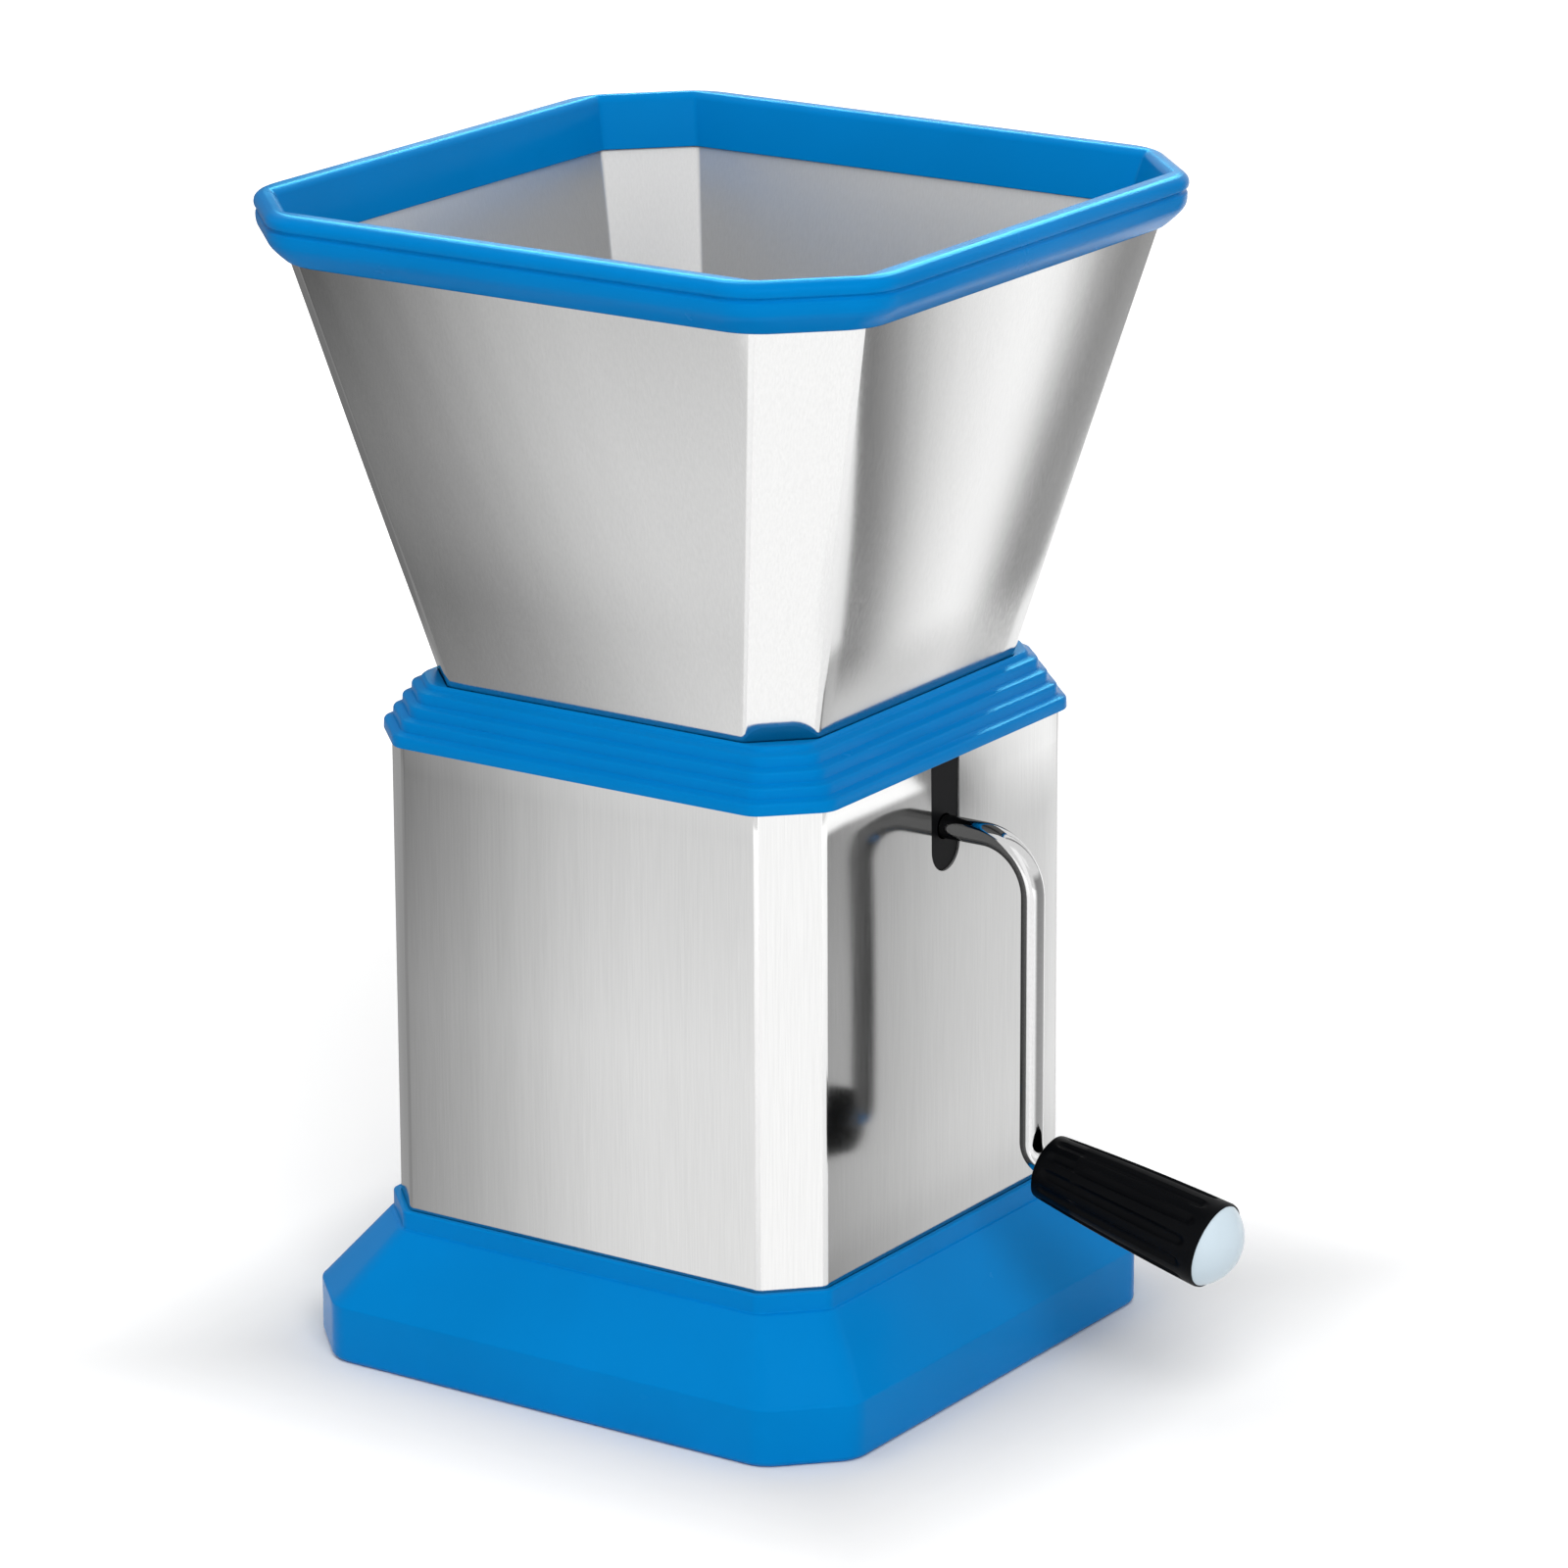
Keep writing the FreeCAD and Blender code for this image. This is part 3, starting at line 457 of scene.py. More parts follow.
def ribTree(sizes, material):
    # two families of straight ribs at right angles; all but the middle one of each are shortened
    tree, i = treeWith("ribGrid", sizes)
    families = []
    for quarter in (0.0, pi / 2):
        middle = wire(tree, "FunctionNodeCompare", {2: wire(tree, "GeometryNodeInputIndex"), 3: (i.ribCount - 1) / 2},
                      data_type="INT", operation="EQUAL")
        squeeze = (i.ribHeight - i.ribRecess * (1.0 - middle)) / i.ribHeight
        placed = wire(tree, "GeometryNodeInstanceOnPoints", {
            "Points": centredRow(i.ribCount, i.ribPitch, 1), "Instance": i.Geometry, "Scale": xyz(1.0, 1.0, squeeze)})
        families.append(wire(tree, "GeometryNodeTransform", {"Geometry": placed, "Rotation": (0, 0, quarter)}))
    return endTree(tree, wire(tree, "GeometryNodeJoinGeometry", {0: families}), material)


def baseRibs():
    # one rib hangs from the floor, its ends leaning with the skirt; z counts down from the floor's underside
    b = base
    end, head, band = b.half - b.ribWall, skirtHalf(b.ceiling, b.ribHeadWall), b.bandTop - b.ceiling
    side = [(-end, -b.ceiling), (end, -b.ceiling), (end, band), (head, b.ribBite), (-head, b.ribBite), (-end, band)]
    mesh = prism("baseRibs", side, "Y", -b.ribThickness / 2, b.ribThickness / 2)
    sizes = {"ribCount": b.ribCount, "ribHeight": b.ceiling * mm, **b.metres("ribPitch", "ribRecess")}
    ribs = runTree(linkObject("baseRibs", mesh), ribTree(sizes, bluePlastic), sizes)
    ribs.data.transform(Matrix.Translation((0, 0, b.ceiling * mm)))
    return ribs


plinthBase = finishPiece(basePiece(), bluePlastic, "container", 35)
finishPiece(baseRibs(), bluePlastic, "container", 30)
print("base made")


# container shell

container = Settings(half=55.0, leg=10.1, foot=29.0, top=136.5, sheet=0.7, bend=2.5, bow=0.35, lip=0.18, rows=12,
                     slotWidth=10.8, slotBottom=110.7)


def containerPiece():
    c = container
    inner, bend = inset(c.half, c.leg, c.sheet), c.bend - c.sheet
    tall, cut = c.top - c.foot, c.lip * 0.3
    risen = [c.foot + tall * k / c.rows for k in range(c.rows)]
    outside = [(c.half, c.leg, z, c.bend) for z in (*risen, c.top - c.lip)]
    lip = [(c.half - cut, c.leg, c.top - cut, c.bend), (c.half - c.lip, c.leg, c.top, c.bend),
           (inner[0] + c.lip, inner[1], c.top, bend), (inner[0] + cut, inner[1], c.top - cut, bend)]
    inside = [(*inner, z, bend) for z in (c.top - c.lip, *risen[:0:-1], c.foot + c.sheet)]
    mesh = sweep("containerShell", outside + lip + inside, "capped", lambda z: c.bow * arch((z - c.foot) / tall),
                 columns=16)
    half = c.slotWidth / 2
    centre, above = c.slotBottom + half, c.top + 3
    bottom = [(half * cos(radians(a)), centre - half * sin(radians(a))) for a in range(0, 181, 10)]
    slot = prism("slot", [(half, above), *bottom, (-half, above)], "X", c.half - 5, c.half + 5)
    piece = cutBy(linkObject("containerShell", mesh), slot)
    markInside(piece.data)
    return piece


finishPiece(containerPiece(), steelSheet, "container", 30)
print("container made")


# hopper shell

hopper = Settings(
    neckZ=147.7, neckHalf=48.35, neckLeg=11.0, brimZ=239.0, brimHalf=71.7, brimLeg=15.6, foot=141.0, top=248.4,
    sheet=0.7, bend=2.5, flowHalf=37.8, flowLeg=8.0, flowEdge=0.1, bow=0.45, bowLow=150, bowHigh=238, rows=12)


def hopperAt(z, distance=0.0):
    h = hopper
    t = (z - h.neckZ) / (h.brimZ - h.neckZ)
    return inset(h.neckHalf + (h.brimHalf - h.neckHalf) * t, h.neckLeg + (h.brimLeg - h.neckLeg) * t, distance)


def hopperPiece():
    h = hopper
    heights = [h.foot + (h.top - h.foot) * k / h.rows for k in range(1, h.rows + 1)]
    floor, inner, flow = h.foot + h.sheet, h.bend - h.sheet, (h.flowHalf, h.flowLeg)
    eased = (h.flowHalf + h.flowEdge, h.flowLeg)
    fold = [(*hopperAt(h.foot, 1.2), h.foot, h.bend), (*hopperAt(h.foot, 0.35), h.foot + 0.3, h.bend),
            (*hopperAt(h.foot + 1.1), h.foot + 1.1, h.bend)]
    outside = [(*hopperAt(z), z, h.bend) for z in heights]
    inside = [(*hopperAt(z, h.sheet), z, inner) for z in (*heights[::-1], floor + 1.3)]
    flange = [(*hopperAt(floor + 0.4, h.sheet + 0.3), floor + 0.4, inner),
              (*hopperAt(floor, h.sheet + 1.4), floor, inner), (*eased, floor, h.bend),
              (*flow, floor - h.flowEdge, h.bend), (*flow, h.foot + h.flowEdge, h.bend), (*eased, h.foot, h.bend)]
    mesh = sweep("hopperShell", fold + outside + inside + flange, "joined",
                 lambda z: h.bow * arch((z - h.bowLow) / (h.bowHigh - h.bowLow)), columns=16)
    markInside(mesh)
    return linkObject("hopperShell", mesh)


finishPiece(hopperPiece(), steelSheet, "hopper_unit", 30)
print("hopper made")


# rim

rim = Settings(
    bottom=239.6, half=78.6, leg=20.4, lip=1.2, corner=13.0, gap=0.1, lipBend=1.6, innerBend=1.7, outerBend=2.6,
    # turned-under foot, finger groove and rolled top: height above the foot, inset, how far the corner is rounded
    outer=[(0.0, 5.2, 0), (0.4, 4.4, 0.25), (1.4, 3.3, 0.5), (2.6, 2.1, 0.5), (3.6, 1.2, 0.4), (4.6, 0.6, 0.4),
           (5.8, 0.35, 0.5), (7.1, 0.35, 0.2), (7.6, 0.85, 0.15), (7.9, 0.85, 0.15), (8.4, 0.15, 0.2), (9.2, 0.0, 0.35),
           (10.1, 0.2, 0.4), (10.9, 0.9, 0.4), (11.4, 2.0, 0.5)])


def rimPiece():
    r = rim
    low, high, edge = r.bottom, r.bottom + r.outer[-1][0], hopper.top
    lip, gap = hopper.sheet + r.lip, hopper.sheet + r.gap
    sections = [(*inset(r.half, r.leg, d), low + z, r.corner, reach) for z, d, reach in r.outer]
    sections += [(*hopperAt(z, distance), z, bend, reach) for z, distance, bend, reach in (
        (high, lip - 0.9, r.lipBend, 0.5), (high - 1.0, lip, r.lipBend, 0.6), (low + 0.1, lip, r.lipBend, 0.3),
        (low, lip - 0.5, r.lipBend, 0.2), (low, gap, r.innerBend, 0), (edge, gap, r.innerBend, 0),
        (edge, -r.gap, r.outerBend, 0), (low, -r.gap, r.outerBend, 0))]
    return linkObject("topRim", sweep("topRim", softened(sections, 3), "joined", turns=8, columns=4))


topRim = finishPiece(rimPiece(), bluePlastic, "hopper_unit", 40)
print("rim made")


# shoulder ring

ring = Settings(
    bottom=135.1, half=57.0, leg=11.7, chamfer=0.35, ribCount=4, rise=2.25, tread=0.5, step=1.9, edge=0.5, corner=5.5,
    shelf=1.0, ledge=2.4, skirtBottom=126.0, skirtWall=1.8, skirtGap=0.6, channelGap=0.4, hopperBend=2.6, flowBend=2.5,
    channelBend=2.9, skirtBend=1.8, skirtInnerBend=1.0, notchHalf=9.3, notchFrom=51.1)
skirtTip = Settings(leadIn=0.5, leadHeight=1.5)


def ribRuleTree(sizes, material):
    # skin whose rows climb in ribs: a near upright face, a rounded edge and a tread to the next rib
    tree, i = treeWith("steppedRibs", sizes)
    columns = wire(tree, "GeometryNodeAttributeDomainSize", {"Geometry": i.Geometry}, out="Point Count",
                   component="MESH")
    rows = i.ribCount * 5 + 1
    grid = wire(tree, "GeometryNodeMeshGrid", {"Vertices X": columns + 1, "Vertices Y": rows})
    index = wire(tree, "GeometryNodeInputIndex")
    row = index % rows
    column = calc("FLOOR", (index + 0.5) / rows) % columns
    rib = calc("FLOOR", (row + 0.5) / 5)
    part = row - rib * 5
    edge, top = i.edge, i.rise
    height = rib * (top + i.tread) + pick(part, [0.0, top - edge, top - edge * 0.3, top, top + i.tread * 0.7])
    inward = rib * i.step + pick(part, [0.0, 0.00008, edge * 0.3 + 0.0001, edge + 0.0001, i.step - 0.0002])
    leaning = wire(tree, "GeometryNodeInputNamedAttribute", {"Name": "inward"}, data_type="FLOAT_VECTOR")
    foot, lean = (wire(tree, "GeometryNodeSampleIndex", {"Geometry": i.Geometry, "Index": column, "Value": value},
                       data_type="FLOAT_VECTOR")
                  for value in (wire(tree, "GeometryNodeInputPosition"), leaning))
    moved = wire(tree, "ShaderNodeVectorMath", {0: lean, "Scale": inward}, operation="SCALE")
    spot = vectorCalc("ADD", vectorCalc("ADD", foot, moved), xyz(0.0, 0.0, height))
    return endTree(tree, wire(tree, "GeometryNodeSetPosition", {"Geometry": grid, "Position": spot}), material)


def ringSkin():
    r = ring
    lower, moved = ([p for p, _ in outlinePoints(*inset(r.half, r.leg, d), r.corner, columns=4)] for d in (0.0, 1.0))
    mesh = meshFrom("ringSkin", [(p.x, p.y, r.bottom + r.chamfer) for p in lower])
    lean = mesh.attributes.new("inward", "FLOAT_VECTOR", "POINT")
    for k, (p, q) in enumerate(zip(lower, moved)):
        lean.data[k].vector = (q.x - p.x, q.y - p.y, 0)
    sizes = {"ribCount": r.ribCount, **r.metres("rise", "tread", "step", "edge")}
    return runTree(linkObject("ringSkin", mesh), ribRuleTree(sizes, bluePlastic), sizes)


def ringPiece():
    r, c, h = ring, container, hopper
    climbed, stepped = r.bottom + r.chamfer + r.ribCount * (r.rise + r.tread), r.ribCount * r.step
    top, under, low, tip = climbed + r.shelf, h.foot - r.ledge, r.skirtBottom, skirtTip
    outer = inset(c.half, c.leg, c.sheet + r.skirtGap)
    inner = inset(c.half, c.leg, c.sheet + r.skirtGap + r.skirtWall)
    channel = inset(c.half, c.leg, -r.channelGap)
    flow = (h.flowHalf, h.flowLeg)
    mesh = sweep("shoulderRing", softened([
        (*inset(r.half, r.leg, stepped), climbed, r.corner, 0),
        (*inset(r.half, r.leg, stepped + 0.1), climbed + 0.5, r.corner, 0.3),
        (*inset(r.half, r.leg, stepped + 0.6), top, r.corner, 0.4),
        (*hopperAt(top, -0.1), top, r.hopperBend, 0.3), (*hopperAt(h.foot, -0.1), h.foot, r.hopperBend, 0),
        (*flow, h.foot, r.flowBend, 0), (*flow, under, r.flowBend, 0),
        (*inner, under, r.skirtInnerBend, 0.4), (*inner, low, r.skirtInnerBend, 0.3),
        (outer[0] - tip.leadIn, outer[1], low, r.skirtBend, 0.3), (*outer, low + tip.leadHeight, r.skirtBend, 0.3),
        (*outer, c.top, r.skirtBend, 0), (*channel, c.top, r.channelBend, 0), (*channel, r.bottom, r.channelBend, 0.1),
        (*inset(r.half, r.leg, 0.35), r.bottom, r.corner, 0), (*inset(r.half, r.leg, 0.1), r.bottom + 0.1, r.corner, 0),
        (r.half, r.leg, r.bottom + r.chamfer, r.corner, 0)], 3), "open", columns=4)
    ribs = ringSkin()
    with editing(mesh) as work:
        work.from_mesh(ribs.data)
        outwardFaces(work, 1e-5)
    bpy.data.objects.remove(ribs)
    notch = boxMesh("notch", (r.notchFrom, -r.notchHalf, low - 1), (c.half + r.channelGap, r.notchHalf, c.top))
    return cutBy(linkObject("shoulderRing", mesh), notch)


shoulderRing = finishPiece(ringPiece(), bluePlastic, "hopper_unit", 46)
print("shoulder ring made")


# crank rod

crank = Settings(radius=2.5, axisZ=120.3, farEnd=-42.2, bendX=64.7, bendRadius=12.0, footZ=55.0, elbowRadius=4.6,
                 droop=13.0, standOff=0.4, spindle=36.0, flatHalf=2.05, flatFrom=-29.5, flatTo=31.5, sides=40)


def aroundY(centre, radius, degrees):
    return centre + Vector((cos(radians(degrees)), 0, sin(radians(degrees)))) * radius


def crankPath():
    c = crank
    out = aroundY(Vector((0, 0, 0)), 1.0, -c.droop)
    topBend = Vector((c.bendX, 0, c.axisZ - c.bendRadius))
    elbow = Vector((c.bendX + c.bendRadius + c.elbowRadius, 0, c.footZ))
    points = [Vector((x, 0, c.axisZ)) for x in (c.farEnd, c.farEnd + 0.4, c.flatFrom - 0.01, c.flatFrom + 0.01,
                                               c.flatTo - 0.01, c.flatTo + 0.01)]
    points += [aroundY(topBend, c.bendRadius, 90 - 5 * k) for k in range(19)]
    points += [aroundY(elbow, c.elbowRadius, 180 + (90 - c.droop) * k / 12) for k in range(13)]
    gripStart = points[-1] + out * c.standOff
    end = gripStart + out * c.spindle
    return points + [end - out * 0.4, end], gripStart, out


def rodTree(sizes, material):
    # a round bar along the path, pressed flat on two sides where the wheels sit
    tree, i = treeWith("bentRod", sizes)
    circle = wire(tree, "GeometryNodeCurvePrimitiveCircle", {"Resolution": i.sides, "Radius": i.radius})
    bar = wire(tree, "GeometryNodeCurveToMesh", {"Curve": wire(tree, "GeometryNodeMeshToCurve", {"Mesh": i.Geometry}),
                                                 "Profile Curve": circle, "Fill Caps": True})
    x, _, z = split(wire(tree, "GeometryNodeInputPosition"))
    inside = calc("GREATER_THAN", x, i.flatFrom) * calc("LESS_THAN", x, i.flatTo)
    pressed = calc("MAXIMUM", calc("MINIMUM", z, i.axisZ + i.flatHalf), i.axisZ - i.flatHalf)
    flat = wire(tree, "GeometryNodeSetPosition", {"Geometry": bar, "Offset": xyz(0.0, 0.0, inside * (pressed - z))})
    return endTree(tree, flat, material)


def rodPiece():
    points = crankPath()[0]
    mesh = meshFrom("crankRod", points, edges=[(k, k + 1) for k in range(len(points) - 1)])
    sizes = {"sides": crank.sides, **crank.metres("radius", "axisZ", "flatHalf", "flatFrom", "flatTo")}
    piece = runTree(linkObject("crankRod", mesh), rodTree(sizes, rodChrome), sizes)
    with editing(piece.data) as work:
        outwardFaces(work)
    return piece


finishPiece(rodPiece(), rodChrome, "rotor", 40)
print("crank rod made")


# grip and cap

grip = Settings(
    length=42.0, nearRadius=7.0, farRadius=9.4, bulge=0.35, fluteCount=12, fluteRadius=1.5, fluteNear=1.15,
    fluteFar=0.85, fluteStart=3.5, fluteEnd=37.5, soft=0.25, nearRound=1.0, farRound=0.6, farDrop=0.2, around=288,
    along=72,
    mouth=((5.4, 0.0), (4.7, 0.0), (2.56, 4.6)), rod=2.56, bore=6.6, boreStep=30.0, seat=1.2,
    capRadius=8.9, capHeight=5.2, capSides=96, capSteps=20, plug=((0, -4.7), (5.9, -4.7), (6.5, -4.1), (6.5, -1.2)))


def gripTree(sizes, material):
    # fluted skin on a grid: one row around for each step along the grip
    tree, i = treeWith("flutedGrip", sizes)
    grid = wire(tree, "GeometryNodeMeshGrid", {"Vertices X": i.around + 1, "Vertices Y": i.along + 1})
    across, up, _ = split(wire(tree, "GeometryNodeInputPosition"))
    angle, t = (across + 0.5) * (2 * pi), up + 0.5
    z = t * i.length
    radius = i.nearRadius + t * (i.farRadius - i.nearRadius) + t * (1.0 - t) * 4.0 * i.bulge
    near = i.nearRadius + i.fluteNear
    centre = near + t * (i.farRadius + i.fluteFar - near)
    pitch = 2 * pi / i.fluteCount
    offset = angle % pitch - pitch * 0.5
    side = centre * calc("SINE", offset)
    beyond = calc("MAXIMUM", i.fluteStart - z, 0.0) + calc("MAXIMUM", z - i.fluteEnd, 0.0)
    square = i.fluteRadius * i.fluteRadius - side * side - beyond * beyond
    bottom = centre * calc("COSINE", offset) - calc("SQRT", calc("MAXIMUM", square, 0.0))
    inFlute = calc("GREATER_THAN", square, 0.0)
    fluted = calc("SMOOTH_MIN", radius, inFlute * bottom + (1.0 - inFlute), i.soft)
    # both ends turn in with a small round
    nearEnd = calc("MAXIMUM", 1.0 - z / i.nearRound, 0.0)
    farEnd = calc("MAXIMUM", 1.0 - (i.length - z) / i.farRound, 0.0)
    fluted -= i.nearRound * (1.0 - calc("SQRT", 1.0 - nearEnd * nearEnd)) + i.farDrop * (farEnd * farEnd)
    spot = xyz(fluted * calc("COSINE", angle), fluted * calc("SINE", angle), z)
    return endTree(tree, wire(tree, "GeometryNodeSetPosition", {"Geometry": grid, "Position": spot}), material)


def gripPiece(place):
    g = grip
    sizes = {"fluteCount": g.fluteCount, "around": g.around, "along": g.along,
             **g.metres("length", "nearRadius", "farRadius", "bulge", "fluteRadius", "fluteNear", "fluteFar",
                        "fluteStart", "fluteEnd", "soft", "nearRound", "farRound", "farDrop")}
    piece = runTree(linkObject("crankGrip", bpy.data.meshes.new("crankGrip")), gripTree(sizes, gripPlastic), sizes)
    far, wide, deep, n = g.length, g.capRadius, g.length - g.seat, g.around
    steps = ((wide + 0.15, far), (wide + 0.1, far - 0.1), (wide - 0.3, deep), (g.bore, deep), (g.bore, g.boreStep),
             (g.rod, g.boreStep))
    with editing(piece.data) as work:
        outwardFaces(work)
        lasts = []
        for level, rows in ((0.0, g.mouth), (far, steps)):
            last = sorted((v for v in work.verts if abs(v.co.z - level * mm) < 1e-6),
                          key=lambda v: atan2(v.co.y, v.co.x))
            turns = [atan2(v.co.y, v.co.x) for v in last]
            for r, z in rows:
                row = [work.verts.new((r * mm * cos(a), r * mm * sin(a), z * mm)) for a in turns]
                for k in range(n):
                    work.faces.new((last[k], last[(k + 1) % n], row[(k + 1) % n], row[k]))
                last = row
            lasts.append(last)
        for k in range(n):
            work.faces.new((lasts[0][k], lasts[0][(k + 1) % n], lasts[1][(k + 1) % n], lasts[1][k]))
        bmesh.ops.recalc_face_normals(work, faces=work.faces)
    piece.data.transform(place)
    return piece


def capPiece(place):
    g = grip
    ball = (g.capRadius ** 2 + g.capHeight ** 2) / (2 * g.capHeight)
    profile = [(r, g.length + z) for r, z in (*g.plug, (g.capRadius - 0.4, -g.seat), (g.capRadius, 0))]
    for k in range(1, g.capSteps + 1):
        a = asin(g.capRadius / ball) * (1 - k / g.capSteps)
        profile.append((ball * sin(a), g.length + g.capHeight - ball + ball * cos(a)))
    mesh = lathe("gripCap", profile, g.capSides)
    mesh.transform(place)
    return linkObject("gripCap", mesh)


_, gripStart, outward = crankPath()
gripPlace = Matrix.Translation(gripStart * mm) @ Vector((0, 0, 1)).rotation_difference(outward).to_matrix().to_4x4()
finishPiece(gripPiece(gripPlace), gripPlastic, "grip", 32)
finishPiece(capPiece(gripPlace), capPlastic, "grip", 30)
print("grip made")


# rivets, screws and nuts; ends hold the radius and height of a domed end, or nothing for a flat one

baseRivets = Settings(radius=2.0, low=26.4, high=29.7, ends=((3.8, 1.4), (3.8, 1.4)), spread=(66.0, 66.0))
frameScrews = Settings(radius=1.5, low=133.9, high=141.7, ends=(None, (2.9, 1.7)), slit=0.7, spread=(85.2, 44.0))
frameNuts = Settings(flats=5.5, height=2.4, bore=1.6, top=137.1, spread=(85.2, 44.0))
combRivets = Settings(radius=1.2, low=0, high=3.0, ends=((2.2, 0.8), (2.2, 0.9)), height=113.9, spread=(45.0, 32.0))
guideScrews = Settings(radius=1.1, low=-9.5, high=0, ends=(None, (2.0, 1.2)), slit=0.5, out=36.5, height=120.3,
                       spread=(0, 18.8))
sides = 24


def pinMesh(name, pin, steps=4):
    def ending(size, base, up):
        if not size:
            return [(0, base), (pin.radius, base)]
        wide, tall = size
        ball = (wide ** 2 + tall ** 2) / (2 * tall)
        lean = [asin(wide / ball) * k / steps for k in range(steps + 1)]
        return [(ball * sin(a), base + up * (tall - ball + ball * cos(a))) for a in lean] + [(pin.radius, base)]
    return lathe(name, ending(pin.ends[0], pin.low, -1) + ending(pin.ends[1], pin.high, 1)[::-1], sides)


def slitScrew(name, pin, reach):
    # a pin with a driver's slit across its head
    wide, tall = pin.ends[1]
    floor = pin.high + tall - pin.slit
    return cutBy(linkObject(name, pinMesh(name, pin)), boxMesh("slit", (-wide * reach, -pin.slit / 2, floor),
                                                               (wide * reach, pin.slit / 2, floor + 2)))


def nutMesh(name, nut):
    # hexagon with a bore; a cone takes its top corners off
    corner, rows = nut.flats / sqrt(3), []
    for z in (0, nut.height - 0.2, nut.height - 0.1, nut.height):
        crown = corner + nut.height - (corner + nut.height - nut.flats / 2 + 0.1) * z / (nut.height + 0.3)
        rows.append([(min(crown, nut.flats / 2 / cos(radians(360 * k / sides % 60 - 30))), z) for k in range(sides)])
    return turned(name, rows + [[(nut.bore, nut.height)] * sides, [(nut.bore, 0)] * sides], "joined")


def cornerTree(sizes, material):
    # the shape given at each crossing of a grid; with "turned" at 1 those on the -Y side face the other way
    tree, i = treeWith("cornerCopies", sizes)
    grid = wire(tree, "GeometryNodeMeshGrid", {"Size X": i.spreadX, "Size Y": i.spreadY, "Vertices X": i.countX,
                                              "Vertices Y": i.countY})
    y = split(wire(tree, "GeometryNodeInputPosition"))[1]
    turn = calc("LESS_THAN", y, 0.0) * i.turned * pi
    placed = wire(tree, "GeometryNodeInstanceOnPoints", {"Points": grid, "Instance": i.Geometry,
                                                        "Rotation": xyz(0.0, 0.0, turn)})
    return endTree(tree, placed, material)


def atCorners(piece, body, spread, place=Matrix(), turned=0):
    piece.data.transform(place)
    sizes = {"spreadX": spread[0] * mm, "spreadY": spread[1] * mm, "countX": 2 if spread[0] else 1, "countY": 2,
             "turned": turned}
    finishPiece(runTree(piece, cornerTree(sizes, fastenerSteel), sizes), fastenerSteel, body, 35)


def liftedTo(x, z, degrees, axis):
    return Matrix.Translation((x * mm, 0, z * mm)) @ Matrix.Rotation(radians(degrees), 4, axis)


atCorners(linkObject("baseRivets", pinMesh("baseRivets", baseRivets)), "container", baseRivets.spread)
atCorners(slitScrew("frameScrews", frameScrews, 1.5), "hopper_unit", frameScrews.spread)
atCorners(linkObject("frameNuts", nutMesh("frameNuts", frameNuts)), "hopper_unit", frameNuts.spread,
          liftedTo(0, frameNuts.top, 180, "X"))
atCorners(linkObject("combRivets", pinMesh("combRivets", combRivets)), "hopper_unit", combRivets.spread,
          liftedTo(0, combRivets.height, -90, "X"), turned=1)
atCorners(slitScrew("guideScrews", guideScrews, 1.25), "hopper_unit", guideScrews.spread,
          liftedTo(guideScrews.out, guideScrews.height, -90, "Y"))
print("fixings made")


# combs

comb = Settings(length=70.6, back=17.5, edge=14.1, top=121.05, thick=1.5, leg=9.0, fingers=8, pitch=9.0, root=0.5,
                fingerHalf=2.0, tipHalf=1.0, tipY=7.2, tipTaper=1.5, burr=0.12)


def fingerTree(sizes, material):
    tree, i = treeWith("combFingers", sizes)
    row = centredRow(i.fingers, i.pitch, 0)
    placed = wire(tree, "GeometryNodeInstanceOnPoints", {"Points": row, "Instance": i.Geometry})
    return endTree(tree, placed, material)


def combPiece(name, degrees):
    c = comb
    low, half, tip, root, taper = c.top - c.thick, c.fingerHalf, c.tipHalf, -c.edge - c.root, -c.tipY - c.tipTaper
    finger = prism("fingers", [(-half, root), (half, root), (half, taper), (tip, -c.tipY), (-tip, -c.tipY),
                               (-half, taper)], "Z", low, c.top)
    sizes = {"fingers": c.fingers, **c.metres("pitch")}
    fingers = runTree(linkObject("fingers", finger), fingerTree(sizes, cutterSteel), sizes)
    front, foot = c.thick - c.back, c.top - c.leg
    angle = [(-c.back, c.top), (-c.back, foot), (front, foot), (front, low), (-c.edge, low), (-c.edge, c.top)]
    piece = linkObject(name, prism(name, angle, "X", -c.length / 2, c.length / 2))
    cutBy(piece, fingers.data, "UNION")
    bpy.data.objects.remove(fingers)
    brokenEdges(piece.data, c.burr)
    piece.data.transform(Matrix.Rotation(radians(degrees), 4, "Z"))
    return piece


finishPiece(combPiece("frontComb", 0), cutterSteel, "hopper_unit", 25)
finishPiece(combPiece("rearComb", 180), cutterSteel, "hopper_unit", 25)
print("combs made")


# cutter wheels and spacers

wheels = Settings(
    count=7, pitch=9.0, axisZ=120.3, teeth=4, root=6.4, hollow=3.2, tip=13.2, backDrop=1.7, lead=6.0, undercut=7.0,
    backMiddle=34.0, thickness=3.0, phaseStep=90 / 7, bore=2.6, boreSides=32, flatHalf=2.15, outer=4.5, outerSides=40,
    edgeSteps=8, backSteps=14, burr=0.12)


def polar(radius, angle):
    return xyz(radius * calc("COSINE", angle), radius * calc("SINE", angle))


